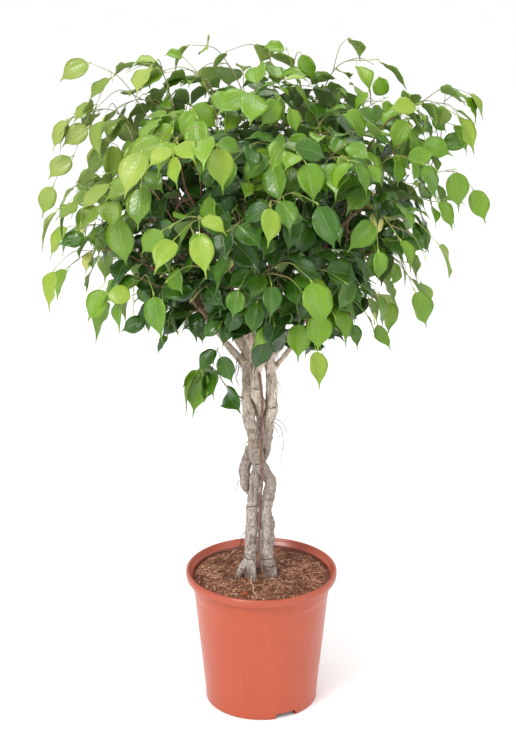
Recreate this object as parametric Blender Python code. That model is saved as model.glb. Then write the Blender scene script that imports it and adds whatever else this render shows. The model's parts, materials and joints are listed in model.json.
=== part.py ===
"""A weeping fig grown as a standard in a nursery pot.

Three young plants share the pot. Their stems are plaited together, each stem
ends in a head of limbs, and every limb carries drooping sprays of leaves.
Lengths are in metres, +Z is up, and the origin is the middle of the pot's
underside. The pot's nearest side, as the plant is usually seen, faces -Y.
"""

import itertools
import math
import random

import bmesh
import bpy
import numpy as np
from mathutils import Matrix, Vector
from mathutils.bvhtree import BVHTree

UP = Vector((0.0, 0.0, 1.0))

# Pot
POT_HEIGHT = 0.252
RIM_RADIUS = 0.135
RIM_DEPTH = 0.014
RIM_GROOVE = 0.004
BODY_TOP_RADIUS = 0.1255
BASE_RADIUS = 0.1005
WALL = 0.002
POT_SIDES = 32
DRAIN_ARCHES = 3
DRAIN_ARCH_FIRST = math.radians(-64)
DRAIN_ARCH_WIDTH = 0.040
DRAIN_ARCH_HEIGHT = 0.0100
DRAIN_ARCH_DEPTH = 0.012

# Soil
SOIL_LEVEL = 0.238
SOIL_CROWN = 0.004
SOIL_LUMPS = 0.0016
SOIL_RINGS = (0.045, 0.085)
GAP = 0.0004

# Plaited stems, as points that each centreline passes through, in millimetres.
# The first stem starts at the front left and ends on the right, the second
# starts on the right and ends on the left, and the third starts at the back
# and ends in front.
STEM_ROUTES = {
    "stem_right": [
        (-20, -12, 208), (-20, -12, 234), (-18, -10, 296), (-16, -12, 354),
        (-14, -14, 402), (-8, -8, 436), (3, 3, 474), (9, 3, 506), (14, 2, 545),
        (16, 2, 590), (15, 5, 622), (11, 8, 652), (9, 10, 672),
    ],
    "stem_left": [
        (21, -8, 208), (19, -7, 234), (11, -6, 277), (6, -5, 316), (7, -8, 364),
        (15, -9, 402), (14, -13, 427), (3, -18, 448), (-6, -17, 470),
        (-12, -11, 506), (-17, -4, 545), (-22, 2, 581), (-23, 8, 603),
        (-22, 12, 626), (-25, 15, 654), (-28, 16, 672),
    ],
    "stem_front": [
        (2, 15, 208), (4, 14, 234), (11, 12, 296), (13, 11, 345), (-4, 14, 374),
        (-22, 6, 402), (-30, 1, 421), (-27, 3, 450), (-18, 9, 474),
        (-6, 15, 497), (1, 17, 520), (0, 10, 543), (-3, -2, 560), (-6, -11, 580),
        (-9, -14, 610), (-12, -11, 645), (-13, -8, 672),
    ],
}
AERIAL_ROOT_ROUTE = [
    (15, -36, 228), (13, -33, 240), (2, -29, 258), (-4, -26, 300),
    (-4, -24, 345), (-3, -24, 389), (1, -29, 427), (0, -32, 455),
    (-1, -29, 490), (0, -19, 525), (1, -16, 555), (1, -22, 581),
    (-1, -27, 608), (-6, -29, 640),
]
STEM_HEIGHTS = (0.208, 0.260, 0.300, 0.350, 0.650, 0.672)
STEM_RADII = (0.0130, 0.0125, 0.0112, 0.0102, 0.0096, 0.0070)
STEM_CLEARANCE = 0.0011
STEM_RINGS = 20
STEM_SIDES = 7
AERIAL_ROOT_RADII = (0.0017, 0.0026)
AERIAL_ROOT_RINGS = 15
AERIAL_ROOT_SIDES = 5
EASING_STEPS = 300
EASING_POINTS = 90
EASING_PUSH = 0.25
EASING_WEIGHTS = (0.35, 1.0, 0.0)
EASING_SMOOTH = 0.4

# Root toes: the stem each grows from, its compass turn, and its reach
TOES = (
    ("stem_right", math.radians(192), 0.027),
    ("stem_right", math.radians(290), 0.020),
    ("stem_left", math.radians(-15), 0.019),
    ("stem_front", math.radians(80), 0.026),
)
TOE_START = 0.284
TOE_RADII = (0.0095, 0.0085, 0.0065)
TOE_DEPTH = 0.012
TOE_SIDES = 6

# Crown. Reach is measured from the crown's middle, by elevation in degrees,
# on the plant's right and left.
CROWN_MIDDLE = Vector((0.0, 0.0, 0.80))
REACH_ELEVATIONS = (-20, 0, 15, 30, 45, 60, 75, 90)
REACH_RIGHT = (0.21, 0.25, 0.32, 0.405, 0.440, 0.415, 0.380, 0.365)
REACH_LEFT = (0.27, 0.31, 0.38, 0.430, 0.435, 0.405, 0.375, 0.365)
LIMB_COUNT = 17
LIMB_LOWEST = math.radians(-6)
LIMB_HIGHEST = math.radians(78)
LIMB_PHASE = math.radians(20)
FIRST_SECTOR = math.radians(-25)
LIMBS_OF = (("stem_right", 6), ("stem_left", 6), ("stem_front", 5))
GOLDEN_ANGLE = math.radians(137.508)
LIMB_SHARE = 0.60
LIMB_LIFT = 0.75
LIMB_PULL = 0.35
LIMB_RADII = (0.0054, 0.0025)
LEADER_RADII = (0.0082, 0.0030)
LIMB_RINGS = 5
LIMB_SIDES = 5
HEAD_LENGTH = 0.050

# Sprays: a main shoot and two side shoots each
SPRAYS_ON_LIMB = ((1.0, 0.0), (0.80, 1.0), (0.60, 2.0))
SPRAY_SPREAD = math.tan(math.radians(13))
SPRAY_SHARE = (0.72, 1.00)
SPRAY_TURN_VARIES = 0.15
SHOOT_PULL = 0.30
SHOOT_LIFT = 0.10
SHOOT_RINGS = 4
SHOOT_RADII = (0.0016, 0.0011)
SIDE_SHOOT_RADII = (0.0007, 0.0012, 0.0009)
SIDE_SHOOTS = ((0.42, 1), (0.66, -1))
SIDE_SHOOT_LENGTH = (0.075, 0.105)
SIDE_SHOOT_ASIDE = (0.55, 0.95)
SIDE_SHOOT_DROOP = (0.6, 1.1)
SHOOT_SIDES = 3
LOW_SPRIG_HEIGHT = 0.566
LOW_SPRIG_REACH = Vector((-0.072, -0.030, 0.072))
LOW_SPRIG_PLACES = (0, 1, 2, 3, 4)

# Leaves. Their places on a shoot are numbered from its tip.
LEAF_LENGTH = (0.060, 0.078)
LEAF_SHAPE = (0.50, 0.60)
LEAF_SPACING = 0.0185
LEAF_PLACES = ((0, 3, 6), (0, 3), (0,))
BARE_SHARE = 0.25
LEAF_THICKNESS = 0.0007
LEAF_SET_OUT = 0.0004
LEAF_ALONG, LEAF_ASIDE, LEAF_OUTWARD, LEAF_HANG = 0.55, 0.85, 0.20, 0.60
FACE_OUTWARD, FACE_UP = 0.85, 0.75
LEAF_SAG = 0.16
LEAF_FOLD = 0.17
LEAF_LOOSENESS = (0.12, 0.05)
MARGIN = 0.0008
TRIES = 16
SEED = 3

# Thin triangles that joining leaves behind are dropped, the wider ones where the shape allows
SLIVERS = (3e-5, 2e-5, 1e-5, 5e-6, 1e-6)
SCRAP_FACES = 8


# Materials


def material(name, colour, roughness):
    made = bpy.data.materials.new(name)
    made.use_nodes = True
    shader = made.node_tree.nodes["Principled BSDF"]
    shader.inputs["Base Color"].default_value = (*colour, 1.0)
    shader.inputs["Roughness"].default_value = roughness
    shader.inputs["Metallic"].default_value = 0.0
    return made


# Curves and tubes


def through(points, count):
    """Evenly numbered points on a smooth curve that passes through the given ones."""
    knots = [np.array(p, float) for p in points]
    knots = [2 * knots[0] - knots[1], *knots, 2 * knots[-1] - knots[-2]]
    spans = len(knots) - 3
    made = []
    for i in range(count):
        at = i / (count - 1) * spans
        k = min(int(at), spans - 1)
        t = at - k
        a, b, c, d = knots[k : k + 4]
        made.append(
            0.5
            * (
                2 * b
                + (c - a) * t
                + (2 * a - 5 * b + 4 * c - d) * t**2
                + (3 * b - a - 3 * c + d) * t**3
            )
        )
    return np.array(made)


def bezier(start, start_pull, end_pull, end, count):
    made = []
    for i in range(count):
        t = i / (count - 1)
        u = 1 - t
        made.append(
            start * u**3
            + start_pull * 3 * u * u * t
            + end_pull * 3 * u * t * t
            + end * t**3
        )
    return made


def point_at(line, share):
    """The point and the direction at a share of a line's points."""
    at = share * (len(line) - 1)
    k = min(int(at), len(line) - 2)
    return line[k].lerp(line[k + 1], at - k), (line[k + 1] - line[k]).normalized()


def tube(line, radii, sides, leaving=None):
    """Vertices and faces of a capped tube, whose first cap faces back along the way it leaves."""
    line = [Vector(p) for p in line]
    tangents = [
        (line[min(i + 1, len(line) - 1)] - line[max(i - 1, 0)]).normalized()
        for i in range(len(line))
    ]
    if leaving:
        tangents[0] = leaving
    across = tangents[0].orthogonal().normalized()
    points, faces = [], []
    for i, (centre, along) in enumerate(zip(line, tangents)):
        across = (across - along * across.dot(along)).normalized()
        beside = along.cross(across)
        radius = float(np.interp(i / (len(line) - 1), np.linspace(0, 1, len(radii)), radii))
        for k in range(sides):
            turn = 2 * math.pi * k / sides
            points.append(centre + radius * (math.cos(turn) * across + math.sin(turn) * beside))
    for i in range(len(line) - 1):
        for k in range(sides):
            low, next_low = i * sides + k, i * sides + (k + 1) % sides
            faces.append((low, next_low, next_low + sides, low + sides))
    faces.append(tuple(reversed(range(sides))))
    last = (len(line) - 1) * sides
    faces.append(tuple(range(last, last + sides)))
    return points, faces


# Plaited stems


def stem_radius(height):
    return np.interp(height, STEM_HEIGHTS, STEM_RADII)


def plait():
    """Centrelines of the stems and of the aerial root, eased apart until they clear.

    Most of the easing is in depth, so that the plait keeps its outline in front.
    """
    routes = {**STEM_ROUTES, "aerial_root": AERIAL_ROOT_ROUTE}
    wanted = [through(route, EASING_POINTS) / 1000 for route in routes.values()]
    lines = [line.copy() for line in wanted]
    thick = [stem_radius(line[:, 2]) for line in wanted]
    thick[-1] = np.full(EASING_POINTS, AERIAL_ROOT_RADII[1])
    every = np.arange(EASING_POINTS)
    for _ in range(EASING_STEPS):
        for a, b in itertools.combinations(range(len(lines)), 2):
            apart = lines[a][:, None, :] - lines[b][None, :, :]
            distance = np.maximum(np.linalg.norm(apart, axis=2), 1e-6)
            lack = thick[a][:, None] + thick[b][None, :] + STEM_CLEARANCE - distance
            lack = np.clip(lack, 0, None)
            push = (EASING_PUSH * lack / distance)[..., None] * apart * EASING_WEIGHTS
            if b < len(STEM_ROUTES):
                lines[a] += push[every, lack.argmax(1)]
            lines[b] -= push[lack.argmax(0), every]
        for line, first in zip(lines, wanted):
            eased = line - first
            between = 0.5 * (eased[:-2] + eased[2:])
            eased[1:-1] += EASING_SMOOTH * (between - eased[1:-1])
            line[:] = first + eased
    return dict(zip(routes, lines))


def stem_tube(line, grow=0.0):
    rings = through(line[::3], STEM_RINGS)
    rings[0][2] -= grow
    return tube(rings, [float(stem_radius(p[2])) + grow for p in rings], STEM_SIDES)


# Limbs


def direction(turn, rise):
    return Vector(
        (math.cos(turn) * math.cos(rise), math.sin(turn) * math.cos(rise), math.sin(rise))
    )


def crown_reach(way):
    """How far the crown reaches from its middle in a direction."""
    rise = math.degrees(math.asin(max(-1.0, min(1.0, way.z))))
    flat = max(math.hypot(way.x, way.y), 1e-6)
    rightness = (1 + way.x / flat) / 2
    right = float(np.interp(rise, REACH_ELEVATIONS, REACH_RIGHT))
    left = float(np.interp(rise, REACH_ELEVATIONS, REACH_LEFT))
    return right * rightness + left * (1 - rightness)


def limb_directions():
    """Directions spread evenly over the dome, dealt to the stem on whose side they lie."""
    spread = []
    low, high = math.sin(LIMB_LOWEST), math.sin(LIMB_HIGHEST)
    for i in range(LIMB_COUNT):
        rise = math.asin(low + (high - low) * (i + 0.5) / LIMB_COUNT)
        spread.append(((i * GOLDEN_ANGLE + LIMB_PHASE) % (2 * math.pi), rise))
    spread.sort(key=lambda d: (d[0] - FIRST_SECTOR) % (2 * math.pi))
    dealt, first = {}, 0
    for name, count in LIMBS_OF:
        dealt[name] = sorted(spread[first : first + count], key=lambda d: d[1])
        first += count
    return dealt


def grow_limbs(stems):
    """Each limb as (stem, direction, centreline, radii), the lowest leaving its stem first."""
    limbs = []
    for name, ways in limb_directions().items():
        stem = [Vector(p) for p in stems[name]]
        top = stem[-1].z
        for rank, (turn, rise) in enumerate(ways):
            height = top - HEAD_LENGTH * (1 - rank / (len(ways) - 1))
            start = min(stem, key=lambda p: abs(p.z - height))
            way = direction(turn, rise)
            end = CROWN_MIDDLE + way * crown_reach(way) * LIMB_SHARE
            span = (end - start).length
            leaving = (way + UP * LIMB_LIFT).normalized() * span * LIMB_PULL
            arriving = (way + (end - start) / span).normalized() * span * LIMB_PULL
            line = bezier(start, start + leaving, end - arriving, end, LIMB_RINGS)
            radii = LEADER_RADII if rank == len(ways) // 2 else LIMB_RADII
            limbs.append((name, way, line, radii))
    return limbs


# Sprays and leaves


class Crowd:
    """What already stands in the crown, so that nothing new is put through it."""

    def __init__(self):
        self.centres = np.zeros((0, 3))
        self.radii = np.zeros(0)
        self.trees = []
        self.owners = []

    def _ball(self, points):
        corners = np.array([tuple(p) for p in points])
        centre = (corners.min(0) + corners.max(0)) / 2
        return centre, float(np.linalg.norm(corners - centre, axis=1).max())

    def touches(self, shape, but=None):
        centre, radius = self._ball(shape[0])
        near = np.linalg.norm(self.centres - centre, axis=1) < self.radii + radius
        tree = BVHTree.FromPolygons(*shape)
        return any(
            self.owners[i] != but and tree.overlap(self.trees[i]) for i in np.flatnonzero(near)
        )

    def add(self, shape, owner):
        centre, radius = self._ball(shape[0])
        self.centres = np.vstack([self.centres, centre])
        self.radii = np.append(self.radii, radius)
        self.trees.append(BVHTree.FromPolygons(*shape))
        self.owners.append(owner)


class Shoot:
    """A leafy shoot: its centreline, radii, leaf places and leaves, and how its foot is turned."""

    def __init__(self, line, radii, places, leaving=None):
        self.line = line
        self.radii = radii
        self.places = places
        self.leaving = leaving
        self.leaves = []

    def solid(self, grow=0.0):
        return tube(self.line, [r + grow for r in self.radii], SHOOT_SIDES, self.leaving)


def drooping_shoot(start, out, target, places):
    """A shoot that leaves its bark squarely, arches over and ends at the target."""
    span = (target - start).length
    flat = Vector((target.x, target.y, 0)).normalized()
    droop = (flat - UP).normalized()
    lift = UP * SHOOT_LIFT * span
    pull = SHOOT_PULL * span
    line = bezier(
        start, start + out * pull + lift, target - droop * pull + lift, target, SHOOT_RINGS
    )
    return Shoot(line, SHOOT_RADII, places, out)


def seat(bark, base, aside):
    """Where a way out from inside a bark tube comes to its surface, and how that faces."""
    surface, out, _, _ = BVHTree.FromPolygons(*bark).ray_cast(base, aside)
    return surface + out * GAP, out


def shoot_on_limb(limb, share, target):
    _, _, line, radii = limb
    base, along = point_at(line, share)
    if share == 1.0:
        return drooping_shoot(base + along * GAP, along, target, LEAF_PLACES[0])
    aside = target - base
    aside = (aside - along * aside.dot(along)).normalized()
    return drooping_shoot(*seat(tube(line, radii, LIMB_SIDES), base, aside), target, LEAF_PLACES[0])


def low_sprig(stems):
    """A young shoot low on the left stem."""
    stem = stems["stem_left"]
    base = min((Vector(p) for p in stem), key=lambda p: abs(p.z - LOW_SPRIG_HEIGHT))
    aside = Vector((LOW_SPRIG_REACH.x, LOW_SPRIG_REACH.y, 0)).normalized()
    start, out = seat(stem_tube(stem), base, aside)
    return drooping_shoot(start, out, start + LOW_SPRIG_REACH, LOW_SPRIG_PLACES)


def side_shoot(parent, share, side, places, draw):
    """A short shoot that leaves its parent sideways and hangs over at its end."""
    start, along = point_at(parent.line, share)
    beside = along.cross(UP).normalized() * side
    length = draw.uniform(*SIDE_SHOOT_LENGTH)
    leaving = along * 0.75 + beside * draw.uniform(*SIDE_SHOOT_ASIDE) + UP * 0.12
    leaving.normalize()
    hanging = (leaving - UP * draw.uniform(*SIDE_SHOOT_DROOP)).normalized()
    middle = start + leaving * length / 2
    return Shoot([start, middle, middle + hanging * length / 2], SIDE_SHOOT_RADII, places)


def wander(draw, looseness):
    return Vector([draw.gauss(0, looseness) for _ in range(3)])


def leaf_frame(line, place, draw, looseness):
    """A leaf's root, axis, upper face direction, length and width, or None past the leafy part.

    Leaves stand to alternate sides of their shoot, hang, and turn their upper
    faces outwards to the light. The first one ends the shoot.
    """
    total = sum((b - a).length for a, b in zip(line, line[1:]))
    back = place * LEAF_SPACING / total
    if back > 1 - BARE_SHARE:
        return None
    root, along = point_at(line, 1 - back)
    outward = Vector((root.x, root.y, 0.35 * (root.z - CROWN_MIDDLE.z))).normalized()
    beside = along.cross(UP).normalized()
    side = 0 if place == 0 else (1 if place % 2 else -1)
    axis = along * LEAF_ALONG + beside * side * LEAF_ASIDE + outward * LEAF_OUTWARD
    axis += wander(draw, looseness) - UP * LEAF_HANG
    axis.normalize()
    face = outward * FACE_OUTWARD + UP * FACE_UP + wander(draw, looseness)
    face = (face - axis * face.dot(axis)).normalized()
    root = root + (axis - along * axis.dot(along)).normalized() * LEAF_SET_OUT
    length = draw.uniform(*LEAF_LENGTH)
    return root, axis, face, length, length * draw.uniform(*LEAF_SHAPE)


def leaf_solid(frame, margin=0.0):
    """A blade with a folded middle and a hanging tip, as few-sided as it can be."""
    root, axis, face, length, width = frame
    beside = face.cross(axis)
    half = LEAF_THICKNESS / 2 + margin

    def at(share, across, lift):
        sag = LEAF_SAG * length * share**2
        return root + axis * (length * share) + beside * across + face * (lift - sag)

    wide, narrow = (0.49 * width + margin), (0.35 * width + margin)
    raised = LEAF_FOLD * width
    points = []
    for lift in (half, -half):
        points += [
            at(0, 0, lift), at(0.36, wide, raised + lift),
            at(0.70, narrow, raised + lift), at(0.70, -narrow, raised + lift),
            at(0.36, -wide, raised + lift), at(0.52, 0, lift),
        ]
    points.append(at(1.0, 0, 0))
    start, left, far_left, far_right, right, middle = range(6)
    under, tip = 6, 12
    faces = [(start, right, left), (start + under, left + under, right + under)]
    rim = [right, far_right, tip, far_left, left]
    for a, b in zip(rim, rim[1:] + rim[:1]):
        faces.append((middle, a, b))
        faces.append((middle + under, *(v if v == tip else v + under for v in (b, a))))
    for a, b in zip([start, *rim], [*rim, start]):
        a_under, b_under = (v if v == tip else v + under for v in (a, b))
        if b != tip:
            faces.append((a, b_under, b))
        if a != tip:
            faces.append((a, a_under, b_under))
    return points, faces


def main_shoots(limbs, crowd, draw):
    """Three shoots on each limb, aimed round the limb's own direction."""
    grown = []
    for number, limb in enumerate(limbs):
        way = limb[1]
        across = way.orthogonal().normalized()
        beside = way.cross(across)
        first = draw.uniform(0, 2 * math.pi)
        for share, third in SPRAYS_ON_LIMB:
            for _ in range(TRIES):
                turn = first + third * 2 * math.pi / 3 + draw.gauss(0, SPRAY_TURN_VARIES)
                aim = way + SPRAY_SPREAD * (math.cos(turn) * across + math.sin(turn) * beside)
                aim.normalize()
                reach = crown_reach(aim) * draw.uniform(*SPRAY_SHARE)
                shoot = shoot_on_limb(limb, share, CROWN_MIDDLE + aim * reach)
                if not crowd.touches(shoot.solid(MARGIN), f"limb {number}"):
                    grown.append(shoot)
                    crowd.add(shoot.solid(MARGIN), f"shoot {len(grown)} 0")
                    break
    return grown


def side_shoots(parent, number, crowd, draw):
    grown = []
    for k, (share, side) in enumerate(SIDE_SHOOTS, 1):
        for _ in range(TRIES):
            shoot = side_shoot(parent, share, side, LEAF_PLACES[k], draw)
            if not crowd.touches(shoot.solid(MARGIN), f"shoot {number} 0"):
                grown.append(shoot)
                crowd.add(shoot.solid(MARGIN), f"shoot {number} {k}")
                break
    return grown


def grow_leaves(shoot, owner, crowd, draw):
    """Leaves at the shoot's places, each drawn again, more loosely, until it is clear."""
    for place in shoot.places:
        for attempt in range(TRIES):
            looseness = LEAF_LOOSENESS[0] + LEAF_LOOSENESS[1] * attempt
            frame = leaf_frame(shoot.line, place, draw, looseness)
            if frame is None:
                break
            blade = leaf_solid(frame, MARGIN)
            if not crowd.touches(blade, owner):
                shoot.leaves.append(frame)
                crowd.add(blade, f"{owner} leaf {place}")
                break


def grow_sprays(limbs, stems):
    """Every spray as a list of shoots, the main one first. The low sprig comes last."""
    draw = random.Random(SEED)
    crowd = Crowd()
    for number, (_, _, line, radii) in enumerate(limbs):
        crowd.add(tube(line, [r + MARGIN for r in radii], LIMB_SIDES), f"limb {number}")
    for name in STEM_ROUTES:
        crowd.add(stem_tube(stems[name], MARGIN), name)
    sprays = []
    for number, shoot in enumerate(main_shoots(limbs, crowd, draw), 1):
        sprays.append([shoot, *side_shoots(shoot, number, crowd, draw)])
    sprays.append([low_sprig(stems)])
    crowd.add(sprays[-1][0].solid(MARGIN), f"shoot {len(sprays)} 0")
    for number, spray in enumerate(sprays, 1):
        for k, shoot in enumerate(spray):
            grow_leaves(shoot, f"shoot {number} {k}", crowd, draw)
    return sprays


# Solids


def new_object(name, shape, finish, smooth=True):
    mesh = bpy.data.meshes.new(name)
    mesh.from_pydata([tuple(p) for p in shape[0]], [], shape[1])
    mesh.materials.append(finish)
    made = bpy.data.objects.new(name, mesh)
    bpy.context.scene.collection.objects.link(made)
    if smooth:
        mesh.shade_smooth()
        mesh.set_sharp_from_angle(angle=math.radians(40))
    return made


def trim(mesh, sliver):
    """Splits a mesh into triangles, drops slivers and scraps, and tells whether it is whole."""
    shape = bmesh.new()
    shape.from_mesh(mesh)
    for _ in range(2):
        bmesh.ops.dissolve_degenerate(shape, dist=sliver, edges=shape.edges)
        midway = [vertex for vertex in shape.verts if len(vertex.link_edges) == 2]
        bmesh.ops.dissolve_verts(shape, verts=midway)
        bmesh.ops.triangulate(shape, faces=shape.faces)
    left = set(shape.faces)
    bodies = []
    while left:
        waiting = [left.pop()]
        body = set(waiting)
        while waiting:
            for edge in waiting.pop().edges:
                for face in edge.link_faces:
                    if face in left:
                        left.remove(face)
                        body.add(face)
                        waiting.append(face)
        bodies.append(body)
    bodies.sort(key=len)
    scraps = [face for body in bodies[:-1] for face in body]
    bmesh.ops.delete(shape, geom=scraps, context="FACES")
    whole = len(scraps) <= SCRAP_FACES and all(len(edge.link_faces) == 2 for edge in shape.edges)
    whole = whole and len({frozenset(face.verts) for face in shape.faces}) == len(shape.faces)
    shape.to_mesh(mesh)
    shape.free()
    return whole


def boolean(target, operation, shapes, finish):
    """Joins shapes to the target or cuts them from it, in one step, and removes them."""
    group = bpy.data.collections.new("working shapes")
    bpy.context.scene.collection.children.link(group)
    for i, shape in enumerate(shapes):
        made = new_object(f"shape_{i}", shape, finish, smooth=False)
        bpy.context.scene.collection.objects.unlink(made)
        group.objects.link(made)
    step = target.modifiers.new("join", "BOOLEAN")
    step.operation = operation
    step.operand_type = "COLLECTION"
    step.collection = group
    for sliver, solver in itertools.product(SLIVERS, ("EXACT", "MANIFOLD")):
        step.solver = solver
        graph = bpy.context.evaluated_depsgraph_get()
        result = bpy.data.meshes.new_from_object(target.evaluated_get(graph))
        if trim(result, sliver):
            break
    target.modifiers.remove(step)
    target.data = result
    for made in list(group.objects):
        bpy.data.objects.remove(made)
    bpy.data.collections.remove(group)


def turned(name, profile, sides, finish):
    """A solid of revolution from an open profile whose ends lie on the axis."""
    shape = bmesh.new()
    ring = [shape.verts.new((r, 0, z)) for r, z in profile]
    edges = [shape.edges.new(pair) for pair in zip(ring, ring[1:])]
    bmesh.ops.spin(
        shape, geom=ring + edges, cent=(0, 0, 0), axis=(0, 0, 1), angle=2 * math.pi,
        steps=sides, use_merge=True, use_duplicate=False,
    )
    bmesh.ops.remove_doubles(shape, verts=shape.verts, dist=1e-6)
    bmesh.ops.recalc_face_normals(shape, faces=shape.faces)
    mesh = bpy.data.meshes.new(name)
    shape.to_mesh(mesh)
    shape.free()
    mesh.materials.append(finish)
    made = bpy.data.objects.new(name, mesh)
    bpy.context.scene.collection.objects.link(made)
    mesh.shade_smooth()
    mesh.set_sharp_from_angle(angle=math.radians(35))
    return made


def box(centre, size, turn=0.0):
    corners = [
        Vector((x * size[0], y * size[1], z * size[2])) / 2
        for x in (-1, 1) for y in (-1, 1) for z in (-1, 1)
    ]
    spin = Matrix.Rotation(turn, 3, "Z")
    faces = [(0, 1, 3, 2), (4, 6, 7, 5), (0, 4, 5, 1), (2, 3, 7, 6), (0, 2, 6, 4), (1, 5, 7, 3)]
    return [spin @ c + Vector(centre) for c in corners], faces


def body_radius(height):
    """The pot wall's outer radius at a height."""
    return BASE_RADIUS + (BODY_TOP_RADIUS - BASE_RADIUS) * height / POT_HEIGHT


def build_pot(finish):
    under_rim = POT_HEIGHT - RIM_DEPTH
    skirt = RIM_RADIUS - WALL
    profile = [
        (0, 0), (BASE_RADIUS - 0.002, 0), (body_radius(0.002), 0.002),
        (body_radius(under_rim), under_rim + RIM_GROOVE), (skirt, under_rim + RIM_GROOVE),
        (skirt, under_rim), (RIM_RADIUS, under_rim), (RIM_RADIUS, POT_HEIGHT - 0.004),
        (RIM_RADIUS - 0.003, POT_HEIGHT), (BODY_TOP_RADIUS, POT_HEIGHT),
        (BODY_TOP_RADIUS - WALL, POT_HEIGHT - 0.003), (BASE_RADIUS - WALL, WALL), (0, WALL),
    ]
    pot = turned("pot", profile, POT_SIDES, finish)
    cuts = []
    for i in range(DRAIN_ARCHES):
        turn = DRAIN_ARCH_FIRST + i * 2 * math.pi / DRAIN_ARCHES
        centre = direction(turn, 0) * BASE_RADIUS
        size = (2 * DRAIN_ARCH_DEPTH, DRAIN_ARCH_WIDTH, 2 * DRAIN_ARCH_HEIGHT)
        cuts.append(box(centre, size, turn))
    boolean(pot, "DIFFERENCE", cuts, finish)


def build_soil(finish, standing):
    """A plug of soil that fills the pot, with a plain hole for everything that stands in it."""
    floor = WALL + GAP
    wall = body_radius(SOIL_LEVEL) - WALL - GAP
    profile = [(0, floor), (body_radius(floor) - WALL - GAP, floor), (wall, SOIL_LEVEL)]
    for radius in reversed(SOIL_RINGS):
        profile.append((radius, SOIL_LEVEL + SOIL_CROWN * (1 - radius / wall)))
    profile.append((0, SOIL_LEVEL + SOIL_CROWN))
    soil = turned("soil", profile, POT_SIDES, finish)
    draw = random.Random(SEED)
    for vertex in soil.data.vertices:
        if vertex.co.z > SOIL_LEVEL + 1e-5:
            vertex.co.z += draw.uniform(-SOIL_LUMPS, SOIL_LUMPS)
    boolean(soil, "DIFFERENCE", standing, finish)


def toe(stems, name, turn, reach, grow=0.0):
    """A root that leaves a stem's foot and dives into the soil."""
    start = min((Vector(p) for p in stems[name]), key=lambda p: abs(p.z - TOE_START))
    foot = min((Vector(p) for p in stems[name]), key=lambda p: abs(p.z - SOIL_LEVEL))
    out = direction(turn, 0)
    end = foot + out * reach + Vector((0, 0, -TOE_DEPTH - grow))
    middle = foot.lerp(start, 0.45) + out * reach * 0.62
    return tube([start, middle, end], [r + grow for r in TOE_RADII], TOE_SIDES)


def root_tube(line, grow=0.0):
    rings = through(line[::6], AERIAL_ROOT_RINGS)
    rings[0][2] -= grow
    return tube(rings, [r + grow for r in AERIAL_ROOT_RADII], AERIAL_ROOT_SIDES)


def build_stems(stems, limbs, bark, root_bark):
    for name in STEM_ROUTES:
        made = new_object(name, stem_tube(stems[name]), bark)
        grown = [toe(stems, *t) for t in TOES if t[0] == name]
        grown += [tube(line, radii, LIMB_SIDES) for stem, _, line, radii in limbs if stem == name]
        boolean(made, "UNION", grown, bark)
    new_object("aerial_root", root_tube(stems["aerial_root"]), root_bark)


def build_sprays(sprays, finish):
    for number, spray in enumerate(sprays, 1):
        name = f"spray_{number:02d}" if number < len(sprays) else "low_sprig"
        made = new_object(name, spray[0].solid(), finish, smooth=False)
        shapes = [shoot.solid() for shoot in spray[1:]]
        shapes += [leaf_solid(frame) for shoot in spray for frame in shoot.leaves]
        boolean(made, "UNION", shapes, finish)


def main():
    for old in list(bpy.data.objects):
        bpy.data.objects.remove(old)
    terracotta = material("terracotta plastic", (0.70, 0.17, 0.09), 0.38)
    compost = material("bark compost", (0.13, 0.07, 0.04), 0.95)
    bark = material("grey bark", (0.42, 0.36, 0.29), 0.85)
    root_bark = material("red-brown root bark", (0.24, 0.12, 0.08), 0.75)
    green = material("leaf green", (0.07, 0.22, 0.02), 0.35)

    stems = plait()
    limbs = grow_limbs(stems)
    sprays = grow_sprays(limbs, stems)
    build_pot(terracotta)
    standing = [stem_tube(stems[name], GAP) for name in STEM_ROUTES]
    standing.append(root_tube(stems["aerial_root"], GAP))
    standing += [toe(stems, *t, GAP) for t in TOES]
    build_soil(compost, standing)
    build_stems(stems, limbs, bark, root_bark)
    build_sprays(sprays, green)


main()
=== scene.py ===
import itertools
import json
import random
from math import asin, cos, degrees, hypot, pi, radians, sin, sqrt, tan

import bmesh
import bpy
import numpy as np
from mathutils import Matrix, Vector, noise
from mathutils.bvhtree import BVHTree

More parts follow.
